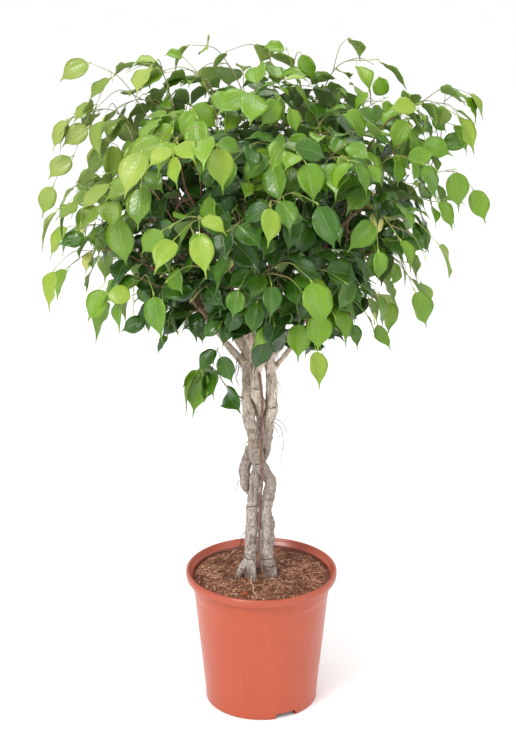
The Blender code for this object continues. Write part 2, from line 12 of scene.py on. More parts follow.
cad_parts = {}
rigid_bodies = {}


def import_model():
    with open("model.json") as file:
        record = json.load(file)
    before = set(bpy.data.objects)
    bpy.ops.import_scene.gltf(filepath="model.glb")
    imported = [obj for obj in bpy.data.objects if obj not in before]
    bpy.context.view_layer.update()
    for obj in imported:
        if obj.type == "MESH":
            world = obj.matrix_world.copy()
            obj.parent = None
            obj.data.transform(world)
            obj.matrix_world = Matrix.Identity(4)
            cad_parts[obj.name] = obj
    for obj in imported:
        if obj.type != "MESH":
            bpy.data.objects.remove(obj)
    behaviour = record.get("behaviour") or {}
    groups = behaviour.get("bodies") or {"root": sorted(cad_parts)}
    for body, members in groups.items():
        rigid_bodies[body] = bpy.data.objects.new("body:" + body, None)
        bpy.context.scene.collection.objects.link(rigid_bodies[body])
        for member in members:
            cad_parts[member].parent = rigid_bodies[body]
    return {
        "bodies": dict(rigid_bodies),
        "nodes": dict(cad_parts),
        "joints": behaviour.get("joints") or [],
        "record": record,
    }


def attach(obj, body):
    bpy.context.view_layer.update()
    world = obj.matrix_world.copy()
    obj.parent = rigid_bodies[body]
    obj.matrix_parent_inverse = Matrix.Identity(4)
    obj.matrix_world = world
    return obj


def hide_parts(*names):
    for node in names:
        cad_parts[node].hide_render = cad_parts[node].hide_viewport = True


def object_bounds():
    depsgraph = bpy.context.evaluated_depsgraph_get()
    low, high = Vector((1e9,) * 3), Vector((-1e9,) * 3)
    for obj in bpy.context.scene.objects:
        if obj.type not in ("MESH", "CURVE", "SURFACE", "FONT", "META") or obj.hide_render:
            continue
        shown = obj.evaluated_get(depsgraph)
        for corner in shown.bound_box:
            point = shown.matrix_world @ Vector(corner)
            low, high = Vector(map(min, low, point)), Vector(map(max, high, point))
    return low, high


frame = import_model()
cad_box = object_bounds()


# The nursery pot. One injection-moulded piece of terracotta-coloured plastic,
# with a rolled rim that hangs over a groove, a slight nesting shoulder below it
# and three low drainage arches cut through the foot.

POT_HEIGHT = 0.252
BODY_TOP_RADIUS = 0.1255
BASE_RADIUS = 0.1005
WALL = 0.002
POT_SIDES = 168
SHOULDER = 0.2105
SHOULDER_STEP = 0.0009
DRAIN_ARCHES = 3
DRAIN_ARCH_FIRST = radians(-64)
DRAIN_ARCH_SIZE = (0.040, 0.040, 0.020)
DRAIN_ARCH_ROUND = 0.004
FLOOR_THICKNESS = 0.0125


def seen(red, green, blue):
    """A colour as a screen shows it, in the linear numbers that a shader takes."""
    return (*(((part / 255 + 0.055) / 1.055) ** 2.4 for part in (red, green, blue)), 1.0)


class Finish:
    """A material as it is built up: a base colour, others laid over it, gloss and relief."""

    def __init__(self, name, roughness, specular):
        self.material = bpy.data.materials.new(name)
        self.material.use_nodes = True
        self.tree = self.material.node_tree
        self.shader = self.tree.nodes["Principled BSDF"]
        self.put(self.shader, {"Roughness": roughness, "Specular IOR Level": specular})
        self.where = self.place(1.0, 1.0, 1.0)

    def put(self, node, inputs):
        """Sets a node's inputs, or joins the outputs of other nodes to them."""
        for key, value in inputs.items():
            if isinstance(value, bpy.types.NodeSocket):
                self.tree.links.new(value, node.inputs[key])
            else:
                node.inputs[key].default_value = value

    def add(self, kind, inputs, out=0, **settings):
        """Adds a node and gives the output that is asked for."""
        node = self.tree.nodes.new("ShaderNode" + kind)
        for key, value in settings.items():
            setattr(node, key, value)
        self.put(node, inputs)
        return node.outputs[out]

    def mark(self, name):
        """A number that the mesh keeps for each point."""
        return self.add("Attribute", {}, "Fac", attribute_name=name)

    def maths(self, how, *values):
        return self.add("Math", dict(enumerate(values)), operation=how)

    def place(self, *stretch):
        """The place on the piece, in metres, stretched so that a pattern runs one way."""
        where = self.add("TexCoord", {}, "Object")
        return self.add("Mapping", {"Vector": where, "Scale": stretch})

    def part(self, axis):
        return self.add("SeparateXYZ", {0: self.where}, axis)

    def cloud(self, scale, detail=3.0, roughness=0.5, where=None):
        inputs = {"Vector": where or self.where, "Scale": scale, "Detail": detail}
        return self.add("TexNoise", {**inputs, "Roughness": roughness}, "Fac")

    def reach(self, value, low, high, most=1.0):
        """How far a value has come from low to high, between 0 and the most it may give."""
        inputs = {"Value": value, "From Min": low, "From Max": high, "To Max": most}
        return self.add("MapRange", inputs)

    def ramp(self, amount, *stops):
        """The colour at an amount, from rows of place, red, green and blue."""
        made = self.add("ValToRGB", {"Fac": amount})
        spots = made.node.color_ramp.elements
        for number, (place, *colour) in enumerate(stops):
            spot = spots[number] if number < 2 else spots.new(place)
            spot.position = place
            spot.color = seen(*colour)
        return made

    def mix(self, share, first, second, how="MIX"):
        return self.add("Mix", {0: share, 6: first, 7: second}, 2, data_type="RGBA", blend_type=how)

    def lay(self, share, *colour):
        """Lays a share of another colour over the base colour."""
        self.colour = self.mix(share, self.colour, seen(*colour))

    def done(self, height, strength, depth):
        """Joins the base colour and a relief to the shader."""
        normal = self.add("Bump", {"Height": height, "Strength": strength, "Distance": depth})
        self.put(self.shader, {"Base Color": self.colour, "Normal": normal})
        return self.material


def into_scene(name, data):
    made = bpy.data.objects.new(name, data)
    bpy.context.scene.collection.objects.link(made)
    return made


def piece(name, points, faces, finishes, slot, marks=None, finish_of=None):
    """A smooth-shaded piece on the root body. Marks are numbers kept for each point."""
    mesh = bpy.data.meshes.new(name)
    mesh.from_pydata([tuple(point) for point in points], [], faces)
    for finish in finishes:
        mesh.materials.append(finish)
    if finish_of is not None:
        mesh.polygons.foreach_set("material_index", finish_of)
    for mark, values in (marks or {}).items():
        mesh.attributes.new(mark, "FLOAT", "POINT").data.foreach_set("value", values)
    mesh.shade_smooth()
    mesh.update()
    made = into_scene(name, mesh)
    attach(made, "root")
    return made


def lathe(profile, sides):
    """Points and faces of a turned shape whose profile starts and ends on the axis."""
    turns = [2 * pi * k / sides for k in range(sides)]
    points = [(0.0, 0.0, profile[0][1])]
    for radius, height in profile[1:-1]:
        points += [(radius * cos(turn), radius * sin(turn), height) for turn in turns]
    points.append((0.0, 0.0, profile[-1][1]))
    last = 1 + (len(profile) - 3) * sides
    faces = []
    for k in range(sides):
        after = (k + 1) % sides
        faces.append((0, 1 + after, 1 + k))
        for low in range(1, last, sides):
            faces.append((low + k, low + after, low + sides + after, low + sides + k))
        faces.append((last + k, last + after, len(points) - 1))
    return points, faces


def body_radius(height):
    return BASE_RADIUS + (BODY_TOP_RADIUS - BASE_RADIUS) * height / POT_HEIGHT


def pot_profile():
    foot = [(0, 0.0008), (0.060, 0.0008), (0.0905, 0.0008), (0.0915, 0), (0.0975, 0)]
    foot += [(0.0990, 0.0002), (0.1000, 0.0009), (body_radius(0.0022) - 0.0001, 0.0022)]
    below = [*np.linspace(0.010, SHOULDER - 0.004, 9), SHOULDER - 0.001]
    step = [(body_radius(z) - SHOULDER_STEP, z) for z in below]
    step += [(body_radius(z), z) for z in (SHOULDER + 0.001, 0.217, 0.228, 0.2395)]
    rim = [
        (0.1256, 0.2410), (0.1272, 0.2416), (0.1300, 0.2416), (0.1318, 0.2408), (0.1325, 0.2395),
        (0.1328, 0.2387), (0.1334, 0.2382), (0.1341, 0.2383), (0.1346, 0.2391), (0.1349, 0.2410),
        (0.1350, 0.2440), (0.1350, 0.2474), (0.1346, 0.2496), (0.1337, 0.2511), (0.1325, 0.2519),
        (0.1312, 0.2520), (0.1300, 0.2515), (0.1291, 0.2504), (0.1284, 0.2488), (0.1270, 0.2462),
        (0.1252, 0.2436), (body_radius(0.2405) - WALL, 0.2405),
    ]
    floor = FLOOR_THICKNESS
    inside = [(body_radius(z) - WALL, z) for z in (0.215, 0.16, 0.10, 0.05, floor + 0.003)]
    inside += [(body_radius(floor) - WALL - 0.001, floor + 0.001), (0.095, floor), (0, floor)]
    return foot + step + rim + inside


def cut_arches(pot):
    """Cuts the drainage arches through the foot of the wall and the floor's edge."""
    group = bpy.data.collections.new("arch cutters")
    bpy.context.scene.collection.children.link(group)
    for number in range(DRAIN_ARCHES):
        turn = Matrix.Rotation(DRAIN_ARCH_FIRST + number * 2 * pi / DRAIN_ARCHES, 3, "Z")
        shape = bmesh.new()
        bmesh.ops.create_cube(shape, size=1.0)
        bmesh.ops.scale(shape, vec=DRAIN_ARCH_SIZE, verts=shape.verts)
        along = [e for e in shape.edges if abs(e.verts[0].co.x - e.verts[1].co.x) > 0.01]
        bmesh.ops.bevel(
            shape, geom=along, offset=DRAIN_ARCH_ROUND, segments=4, affect="EDGES", profile=0.5
        )
        bmesh.ops.translate(shape, vec=(BASE_RADIUS, 0, 0), verts=shape.verts)
        bmesh.ops.rotate(shape, cent=(0, 0, 0), matrix=turn, verts=shape.verts)
        mesh = bpy.data.meshes.new("arch cutter")
        shape.to_mesh(mesh)
        shape.free()
        group.objects.link(bpy.data.objects.new("arch cutter", mesh))
    step = pot.modifiers.new("arches", "BOOLEAN")
    step.operation = "DIFFERENCE"
    step.operand_type = "COLLECTION"
    step.collection = group
    step.solver = "EXACT"
    graph = bpy.context.evaluated_depsgraph_get()
    result = bpy.data.meshes.new_from_object(pot.evaluated_get(graph))
    pot.modifiers.remove(step)
    pot.data = result
    for made in list(group.objects):
        bpy.data.objects.remove(made)
    bpy.data.collections.remove(group)


def pot_plastic():
    look = Finish("terracotta moulded plastic", 0.32, 0.52)
    mottled = look.cloud(14.0, 4.0)
    look.colour = look.ramp(mottled, (0.32, 168, 71, 41), (0.55, 171, 73, 43), (0.75, 175, 76, 46))
    streaks = look.cloud(150.0, 2.0, where=look.place(1.0, 1.0, 0.05))
    look.lay(look.reach(streaks, 0.55, 0.80, 0.05), 236, 150, 122)
    height = look.part("Z")
    # Painted shade: the rim's top is darkened against the stronger light that falls on it from above.
    rim_painted_shade = look.reach(height, 0.2370, 0.2430, 0.85)
    look.lay(rim_painted_shade, 162, 72, 47)
    specks = look.reach(look.cloud(210.0, 5.0, 0.7), 0.60, 0.72)
    near_foot = look.reach(height, 0.030, 0.0, 0.45)
    look.lay(look.maths("MULTIPLY", specks, near_foot), 122, 82, 60)
    level = look.add("VectorMath", {0: look.where, 1: (1.0, 1.0, 0.0)}, operation="MULTIPLY")
    away = look.add("VectorMath", {0: level}, "Value", operation="LENGTH")
    slope = (BODY_TOP_RADIUS - BASE_RADIUS) / POT_HEIGHT
    upright = look.maths("MULTIPLY_ADD", height, -slope, away)
    inner = look.reach(upright, BASE_RADIUS - 0.0012, BASE_RADIUS - 0.0018)
    # Painted shade: the inner wall is darkened to a deeper red, as if in the shade of the pot.
    look.lay(look.maths("MULTIPLY", inner, 0.75), 144, 48, 32)
    # Near the soil line the inner wall is darker still: partly a soil stain, partly painted shade where
    # the compost meets the wall.
    soil_splash_and_shade = look.maths("MULTIPLY", look.reach(height, 0.2450, 0.2385), inner)
    uneven = look.reach(look.cloud(90.0, 4.0, 0.6), 0.15, 0.60)
    look.lay(look.maths("MULTIPLY", soil_splash_and_shade, uneven), 66, 42, 30)
    worn = look.maths("MULTIPLY_ADD", look.cloud(9.0, 2.0), 0.14, 0.25)
    look.put(look.shader, {"Roughness": worn})
    return look.done(look.cloud(420.0, 2.0), 0.05, 0.0005)


pot = piece("Nursery_pot", *lathe(pot_profile(), POT_SIDES), [pot_plastic()], "pot")
cut_arches(pot)
pot.data.shade_smooth()
pot.data.set_sharp_from_angle(angle=radians(50))
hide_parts("pot")


# The compost. Moist bark and coir that fills the pot and holds the root ball:
# a lumpy surface strewn with bark chips, coir fibres and crumbs, heaped a little
# towards the stems.

SOIL_LEVEL = 0.238
SOIL_CROWN = 0.0036
SOIL_GAP = 0.0004
SOIL_RINGS = 64
SOIL_SIDES = 176
SOIL_TONE = 0.12
STEM_FEET = ((-0.020, -0.012), (0.021, -0.008), (0.002, 0.015))
STEM_ROOM = 0.012
CHIPS, FIBRES, CRUMBS = 1050, 820, 1800
CRUMB_SIZE = (0.0006, 0.0018)
CHIP_LENGTH = (0.004, 0.015)
CHIP_SHAPE = (0.18, 0.5)
CHIP_THICKNESS = (0.0007, 0.0016)
CHIP_LIFT = (0.0, 0.0026)
FIBRE_LENGTH = (0.007, 0.024)
FIBRE_RADIUS = (0.00022, 0.00050)
FIBRE_LIFT = (0.0012, 0.0032)
# How light each kind is, from 0 to 1, and how much that varies
CRUMB_TONE, CHIP_TONE, FIBRE_TONE = (0.34, 0.24), (0.40, 0.27), (0.80, 0.20)
SOIL_SEED = 11


def soil_edge(height):
    return body_radius(height) - WALL - SOIL_GAP


def soil_height(x, y):
    """The compost's surface, with clods and hollows."""
    away = hypot(x, y) / soil_edge(SOIL_LEVEL)
    clods = 0.0012 * noise.noise((x * 70, y * 70, 0.3))
    crumbs = 0.0007 * noise.noise((x * 260, y * 260, 4.1))
    sunk = -0.0022 * max(0.0, away - 0.93) / 0.07
    return SOIL_LEVEL + SOIL_CROWN * (1 - away) + clods + crumbs + sunk


def soil_plug():
    """The plug's points and faces: a plain underside and wall, and a lumpy top."""
    floor = FLOOR_THICKNESS + SOIL_GAP
    profile = [(0, floor), (soil_edge(floor) - 0.002, floor), (soil_edge(0.12), 0.12)]
    edge = soil_edge(SOIL_LEVEL - 0.003)
    profile += [(edge * r, SOIL_LEVEL) for r in np.linspace(1, 1 / SOIL_RINGS, SOIL_RINGS)]
    profile.append((0, SOIL_LEVEL))
    points, faces = lathe(profile, SOIL_SIDES)
    top = 1 + 2 * SOIL_SIDES
    points[top:] = [(x, y, soil_height(x, y)) for x, y, _ in points[top:]]
    return points, faces


def strewn(draw, room):
    """A random place on the compost, clear of the stems and of the pot."""
    while True:
        away = (soil_edge(SOIL_LEVEL) - room) * sqrt(draw.random())
        turn = draw.uniform(0, 2 * pi)
        x, y = away * cos(turn), away * sin(turn)
        if all(hypot(x - a, y - b) > STEM_ROOM for a, b in STEM_FEET):
            return Vector((x, y, soil_height(x, y)))


def tilted(draw, most):
    lean = Matrix.Rotation(draw.gauss(0, most), 3, "X")
    return Matrix.Rotation(draw.uniform(0, 2 * pi), 3, "Z") @ lean


def chip(draw, length, width, thickness):
    """A flat splinter of bark with an uneven outline, narrower on its upper side."""
    corners = draw.choice((5, 6, 7))
    outline = []
    for k in range(corners):
        turn = 2 * pi * (k + draw.uniform(-0.3, 0.3)) / corners
        size = draw.uniform(0.7, 1.0) / 2
        outline.append((length * size * cos(turn), width * size * sin(turn)))
    points = [Vector((x, y, -thickness / 2)) for x, y in outline]
    points += [
        Vector((x * 0.82, y * 0.82, thickness / 2 + draw.uniform(-0.2, 0.2) * thickness))
        for x, y in outline
    ]
    faces = [tuple(reversed(range(corners))), tuple(range(corners, 2 * corners))]
    for k in range(corners):
        after = (k + 1) % corners
        faces.append((k, after, corners + after, corners + k))
    return points, faces


def fibre(draw, length, radius):
    """A thin curled strand of coir."""
    curl = draw.uniform(-1.6, 1.6)
    steps, sides = 4, 3
    points, at, turn = [], Vector(), 0.0
    for i in range(steps + 1):
        along = Vector((cos(turn), sin(turn), draw.uniform(-0.18, 0.18))).normalized()
        across = along.cross(Vector((0, 0, 1))).normalized()
        beside = across.cross(along)
        here = radius * (0.5 if i in (0, steps) else 1.0)
        for k in range(sides):
            angle = 2 * pi * k / sides
            points.append(at + here * (cos(angle) * across + sin(angle) * beside))
        at = at + along * (length / steps)
        turn += curl / steps
    faces = []
    for i, k in itertools.product(range(steps), range(sides)):
        low, after = i * sides + k, i * sides + (k + 1) % sides
        faces.append((low, low + sides, after + sides, after))
    faces.append(tuple(range(sides)))
    faces.append(tuple(reversed(range(steps * sides, (steps + 1) * sides))))
    return points, faces


def crumb(draw, size):
    points = [
        Vector((x, y, z)) * size * draw.uniform(0.6, 1.1)
        for x, y, z in ((1, 0, 0), (0, 1, 0), (-1, 0, 0), (0, -1, 0), (0, 0, 0.8), (0, 0, -0.8))
    ]
    faces = [(0, 1, 4), (1, 2, 4), (2, 3, 4), (3, 0, 4), (1, 0, 5), (2, 1, 5), (3, 2, 5), (0, 3, 5)]
    return points, faces


def gather(shapes):
    """The points and the faces of several shapes as one mesh's."""
    points, faces = [], []
    for shape in shapes:
        first = len(points)
        points += [tuple(point) for point in shape[0]]
        faces += [tuple(first + v for v in face) for face in shape[1]]
    return points, faces


def compost():
    """The plug and everything strewn on it as one mesh, with a tone for each point."""
    draw = random.Random(SOIL_SEED)
    shapes = [soil_plug()]
    tones = [SOIL_TONE] * len(shapes[0][0])

    def lay(shape, place, lift, spin, tone):
        place = place + Vector((0, 0, lift))
        shapes.append(([place + spin @ point for point in shape[0]], shape[1]))
        tones.extend([min(1.0, max(0.0, tone))] * len(shape[0]))

    for _ in range(CRUMBS):
        shape = crumb(draw, draw.uniform(*CRUMB_SIZE))
        lay(shape, strewn(draw, 0.002), 0.0, tilted(draw, 0.8), draw.gauss(*CRUMB_TONE))
    for _ in range(CHIPS):
        length = draw.uniform(*CHIP_LENGTH)
        width = length * draw.uniform(*CHIP_SHAPE)
        shape = chip(draw, length, width, draw.uniform(*CHIP_THICKNESS))
        place, lift = strewn(draw, 0.007), draw.uniform(*CHIP_LIFT)
        lay(shape, place, lift, tilted(draw, 0.50), draw.gauss(*CHIP_TONE))
    for _ in range(FIBRES):
        shape = fibre(draw, draw.uniform(*FIBRE_LENGTH), draw.uniform(*FIBRE_RADIUS))
        place, lift = strewn(draw, 0.016), draw.uniform(*FIBRE_LIFT)
        lay(shape, place, lift, tilted(draw, 0.12), draw.gauss(*FIBRE_TONE))
    return *gather(shapes), tones


def compost_finish():
    look = Finish("bark compost", 0.90, 0.25)
    patches = look.reach(look.cloud(330.0, 4.0, 0.65), 0.25, 0.75)
    tone = look.maths("MULTIPLY", look.maths("ADD", look.mark("tone"), patches), 0.55)
    coloured = look.ramp(
        tone, (0.08, 58, 34, 28), (0.30, 112, 70, 54), (0.50, 158, 106, 82),
        (0.70, 198, 150, 118), (0.92, 240, 212, 182),
    )
    darker = look.mix(0.62, coloured, seen(148, 116, 102), "MULTIPLY")
    damp = look.reach(look.cloud(26.0), 0.38, 0.64)
    look.colour = look.mix(damp, coloured, darker)
    return look.done(look.cloud(900.0, 4.0, 0.7), 0.6, 0.0008)


soil_points, soil_faces, soil_tones = compost()
soil_finish = compost_finish()
soil = piece("Compost", soil_points, soil_faces, [soil_finish], "compost", {"tone": soil_tones})
soil.data.set_sharp_from_angle(angle=radians(55))
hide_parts("soil")


# The three plaited stems. Young fig trunks set in one pot and plaited while soft,
# pale grey bark with fibrous ridges, each one piece from the root toes at its foot
# to the limbs that its head divides into.

# The routes that the stems are drawn along, in millimetres
STEM_ROUTES = {
    "stem_right": [
        (-20, -12, 208), (-20, -12, 234), (-18, -10, 296), (-16, -12, 354), (-14, -14, 402),
        (-8, -8, 436), (3, 3, 474), (9, 3, 506), (14, 2, 545), (16, 2, 590), (15, 5, 622),
        (11, 8, 652), (9, 10, 672),
    ],
    "stem_left": [
        (21, -8, 208), (19, -7, 234), (11, -6, 277), (6, -5, 316), (7, -8, 364), (15, -9, 402),
        (14, -13, 427), (3, -18, 448), (-6, -17, 470), (-12, -11, 506), (-17, -4, 545),
        (-22, 2, 581), (-23, 8, 603), (-22, 12, 626), (-25, 15, 654), (-28, 16, 672),
    ],
    "stem_front": [
        (2, 15, 208), (4, 14, 234), (11, 12, 296), (13, 11, 345), (-4, 14, 374), (-22, 6, 402),
        (-30, 1, 421), (-27, 3, 450), (-18, 9, 474), (-6, 15, 497), (1, 17, 520), (0, 10, 543),
        (-3, -2, 560), (-6, -11, 580), (-9, -14, 610), (-12, -11, 645), (-13, -8, 672),
    ],
}
AERIAL_ROOT_ROUTE = [
    (15, -36, 228), (13, -33, 240), (2, -29, 258), (-4, -26, 300), (-4, -24, 345), (-3, -24, 389),
    (1, -29, 427), (0, -32, 455), (-1, -29, 490), (0, -19, 525), (1, -16, 555), (1, -22, 581),
    (-1, -27, 608), (-6, -29, 640),
]
STEM_HEIGHTS = (0.208, 0.260, 0.300, 0.350, 0.650, 0.672)
STEM_RADII = (0.0130, 0.0125, 0.0112, 0.0102, 0.0096, 0.0070)
BARK_HEIGHTS = (0.208, 0.246, 0.275, 0.300, 0.350, 0.650, 0.672)
BARK_RADII = (0.0098, 0.0104, 0.0116, 0.0112, 0.0101, 0.0093, 0.0072)
STEM_CLEARANCE = 0.0011
STEM_RINGS = 20
STEM_SIDES = 7
AERIAL_ROOT_RADII = (0.0017, 0.0026)
EASING_STEPS = 300
EASING_POINTS = 90
EASING_PUSH = 0.25
EASING_WEIGHTS = (0.35, 1.0, 0.0)
EASING_SMOOTH = 0.4
# Each toe: its stem, the compass turn in degrees and how far out it dives
TOES = (
    ("stem_right", 192, 0.027), ("stem_right", 290, 0.020),
    ("stem_left", -15, 0.010), ("stem_front", 80, 0.026),
)
TOE_START = 0.284
TOE_RADII = (0.0080, 0.0060, 0.0048)
TOE_DEPTH = 0.012
UP = Vector((0.0, 0.0, 1.0))
CROWN_MIDDLE = Vector((0.0, 0.0, 0.80))
REACH_ELEVATIONS = (-20, 0, 15, 30, 45, 60, 75, 90)
REACH_RIGHT = (0.21, 0.25, 0.32, 0.405, 0.440, 0.415, 0.380, 0.365)
REACH_LEFT = (0.27, 0.31, 0.38, 0.430, 0.435, 0.405, 0.375, 0.365)
LIMB_COUNT = 17
LIMB_RISE = (radians(-6), radians(78))
LIMB_PHASE = radians(20)
FIRST_SECTOR = radians(-25)
LIMBS_OF = (("stem_right", 6), ("stem_left", 6), ("stem_front", 5))
GOLDEN_ANGLE = radians(137.508)
LIMB_SHARE = 0.60
LIMB_LIFT = 0.75
LIMB_PULL = 0.35
LIMB_RADII = (0.0054, 0.0025)
LEADER_RADII = (0.0082, 0.0030)
LIMB_RINGS = 5
LIMB_SIDES = 5
HEAD_LENGTH = 0.050
BARK_VOXEL = 0.00155
# Old roots that have grown onto each stem: how many, their radii and how far they wind
FUSED_ROOTS = 12
FUSED_RADII = (0.0018, 0.0032)
FUSED_TURN = 2.2
SWAY = 0.0030


def curve_at(points, share):
    """A place on the smooth curve through evenly numbered points."""
    knots = [np.array(p, float) for p in points]
    knots = [2 * knots[0] - knots[1], *knots, 2 * knots[-1] - knots[-2]]
    spans = len(knots) - 3
    at = share * spans
    k = min(int(at), spans - 1)
    t = at - k
    a, b, c, d = knots[k : k + 4]
    return 0.5 * (
        2 * b + (c - a) * t + (2 * a - 5 * b + 4 * c - d) * t**2 + (3 * b - a - 3 * c + d) * t**3
    )


def through(points, count):
    return np.array([curve_at(points, i / (count - 1)) for i in range(count)])


def bezier(start, start_pull, end_pull, end, count):
    made = []
    for i in range(count):
        t = i / (count - 1)
        u = 1 - t
        made.append(
            start * u**3 + start_pull * 3 * u * u * t + end_pull * 3 * u * t * t + end * t**3
        )
    return made


def point_at(line, share):
    """The point and the direction at a share of a line's points."""
    at = share * (len(line) - 1)
    k = min(int(at), len(line) - 2)
    return line[k].lerp(line[k + 1], at - k), (line[k + 1] - line[k]).normalized()


def near_height(line, height):
    return min((Vector(p) for p in line), key=lambda p: abs(p.z - height))


def square_to(axis, way):
    """The part of a way that is square to an axis, one long."""
    return (way - axis * way.dot(axis)).normalized()


def tube(line, radii, sides, leaving=None):
    """Points and faces of a capped tube, whose first cap faces back along the way it leaves."""
    line = [Vector(p) for p in line]
    last = len(line) - 1
    tangents = [
        (line[min(i + 1, last)] - line[max(i - 1, 0)]).normalized() for i in range(last + 1)
    ]
    if leaving:
        tangents[0] = leaving
    across = tangents[0].orthogonal().normalized()
    points, faces = [], []
    for i, (centre, along) in enumerate(zip(line, tangents)):
        across = square_to(along, across)
        beside = along.cross(across)
        radius = float(np.interp(i / last, np.linspace(0, 1, len(radii)), radii))
        for k in range(sides):
            turn = 2 * pi * k / sides
            points.append(centre + radius * (cos(turn) * across + sin(turn) * beside))
    for i, k in itertools.product(range(last), range(sides)):
        low, after = i * sides + k, i * sides + (k + 1) % sides
        faces.append((low, after, after + sides, low + sides))
    faces.append(tuple(reversed(range(sides))))
    faces.append(tuple(range(last * sides, (last + 1) * sides)))
    return points, faces


def stem_radius(height):
    return np.interp(height, STEM_HEIGHTS, STEM_RADII)


def plait():
    """Centrelines of the stems and of the aerial root, eased apart over a set number of steps so that
    they clear.
    """
    routes = {**STEM_ROUTES, "aerial_root": AERIAL_ROOT_ROUTE}
    wanted = [through(route, EASING_POINTS) / 1000 for route in routes.values()]
    lines = [line.copy() for line in wanted]
    thick = [stem_radius(line[:, 2]) for line in wanted]
    thick[-1] = np.full(EASING_POINTS, AERIAL_ROOT_RADII[1])
    every = np.arange(EASING_POINTS)
    for _ in range(EASING_STEPS):
        for a, b in itertools.combinations(range(len(lines)), 2):
            apart = lines[a][:, None, :] - lines[b][None, :, :]
            distance = np.maximum(np.linalg.norm(apart, axis=2), 1e-6)
            lack = thick[a][:, None] + thick[b][None, :] + STEM_CLEARANCE - distance
            lack = np.clip(lack, 0, None)
            push = (EASING_PUSH * lack / distance)[..., None] * apart * EASING_WEIGHTS
            if b < len(STEM_ROUTES):
                lines[a] += push[every, lack.argmax(1)]
            lines[b] -= push[lack.argmax(0), every]
        for line, first in zip(lines, wanted):
            eased = line - first
            between = 0.5 * (eased[:-2] + eased[2:])
            eased[1:-1] += EASING_SMOOTH * (between - eased[1:-1])
            line[:] = first + eased
    return dict(zip(routes, lines))


def stem_tube(line, grow=0.0):
    rings = through(line[::3], STEM_RINGS)
    rings[0][2] -= grow
    return tube(rings, [float(stem_radius(p[2])) + grow for p in rings], STEM_SIDES)


def direction(turn, rise):
    return Vector((cos(turn) * cos(rise), sin(turn) * cos(rise), sin(rise)))


def by_side(way, rise, elevations, right, left):
    """A value by elevation, blended between the right and the left of the crown."""
    rightness = (1 + way.x / max(hypot(way.x, way.y), 1e-6)) / 2
    right, left = (float(np.interp(rise, elevations, side)) for side in (right, left))
    return right * rightness + left * (1 - rightness)


def crown_reach(way):
    """How far the crown reaches from its middle in a direction."""
    rise = degrees(asin(max(-1.0, min(1.0, way.z))))
    return by_side(way, rise, REACH_ELEVATIONS, REACH_RIGHT, REACH_LEFT)


def limb_directions():
    """Directions spread evenly over the dome, dealt to the stem on whose side they lie."""
    spread = []
    low, high = (sin(rise) for rise in LIMB_RISE)
    for i in range(LIMB_COUNT):
        rise = asin(low + (high - low) * (i + 0.5) / LIMB_COUNT)
        spread.append(((i * GOLDEN_ANGLE + LIMB_PHASE) % (2 * pi), rise))
    spread.sort(key=lambda d: (d[0] - FIRST_SECTOR) % (2 * pi))
    dealt, first = {}, 0
    for name, count in LIMBS_OF:
        dealt[name] = sorted(spread[first : first + count], key=lambda d: d[1])
        first += count
    return dealt


def grow_limbs(stems):
    """Each limb as (stem, direction, centreline, radii), the lowest leaving its stem first."""
    limbs = []
    for name, ways in limb_directions().items():
        top = Vector(stems[name][-1]).z
        for rank, (turn, rise) in enumerate(ways):
            start = near_height(stems[name], top - HEAD_LENGTH * (1 - rank / (len(ways) - 1)))
            way = direction(turn, rise)
            end = CROWN_MIDDLE + way * crown_reach(way) * LIMB_SHARE
            span = (end - start).length
            leaving = (way + UP * LIMB_LIFT).normalized() * span * LIMB_PULL
            arriving = (way + (end - start) / span).normalized() * span * LIMB_PULL
            line = bezier(start, start + leaving, end - arriving, end, LIMB_RINGS)
            radii = LEADER_RADII if rank == len(ways) // 2 else LIMB_RADII
            limbs.append((name, way, line, radii))
    return limbs


def toe_line(stem, turn, reach):
    """A root that leaves a stem's foot and dives into the compost."""
    start, foot = near_height(stem, TOE_START), near_height(stem, SOIL_LEVEL)
    out = direction(turn, 0)
    end = foot + out * reach - UP * TOE_DEPTH
    middle = foot.lerp(start, 0.45) + out * reach * 0.62
    return through([start, middle, end], 14)


def one_skin(shapes, voxel):
    """Wraps overlapping shapes in one closed skin: its points, normals and faces."""
    points, faces = gather(shapes)
    mesh = bpy.data.meshes.new("rough")
    mesh.from_pydata(points, [], faces)
    rough = into_scene("rough", mesh)
    wrap = rough.modifiers.new("skin", "REMESH")
    wrap.mode = "VOXEL"
    wrap.voxel_size = voxel
    even = rough.modifiers.new("even", "SMOOTH")
    even.factor = 0.5
    even.iterations = 3
    graph = bpy.context.evaluated_depsgraph_get()
    skin = bpy.data.meshes.new_from_object(rough.evaluated_get(graph))
    bpy.data.objects.remove(rough)
    places, normals = np.empty((2, len(skin.vertices) * 3))
    skin.vertices.foreach_get("co", places)
    skin.vertices.foreach_get("normal", normals)
    return places.reshape(-1, 3), normals.reshape(-1, 3), [tuple(f.vertices) for f in skin.polygons]


def bark_height(point):
    """How far the bark stands out: slow lumps, and ridges that run up the stem."""
    x, y, z = point
    lumps = 0.00150 * noise.noise((x * 62, y * 62, z * 40))
    ridges = 0.00100 * noise.noise((x * 230, y * 230, z * 34 + 7))
    knots = 0.00110 * noise.noise((x * 140, y * 140, z * 120 + 3))
    return lumps + ridges + knots


def bark_radius(height):
    return float(np.interp(height, BARK_HEIGHTS, BARK_RADII))


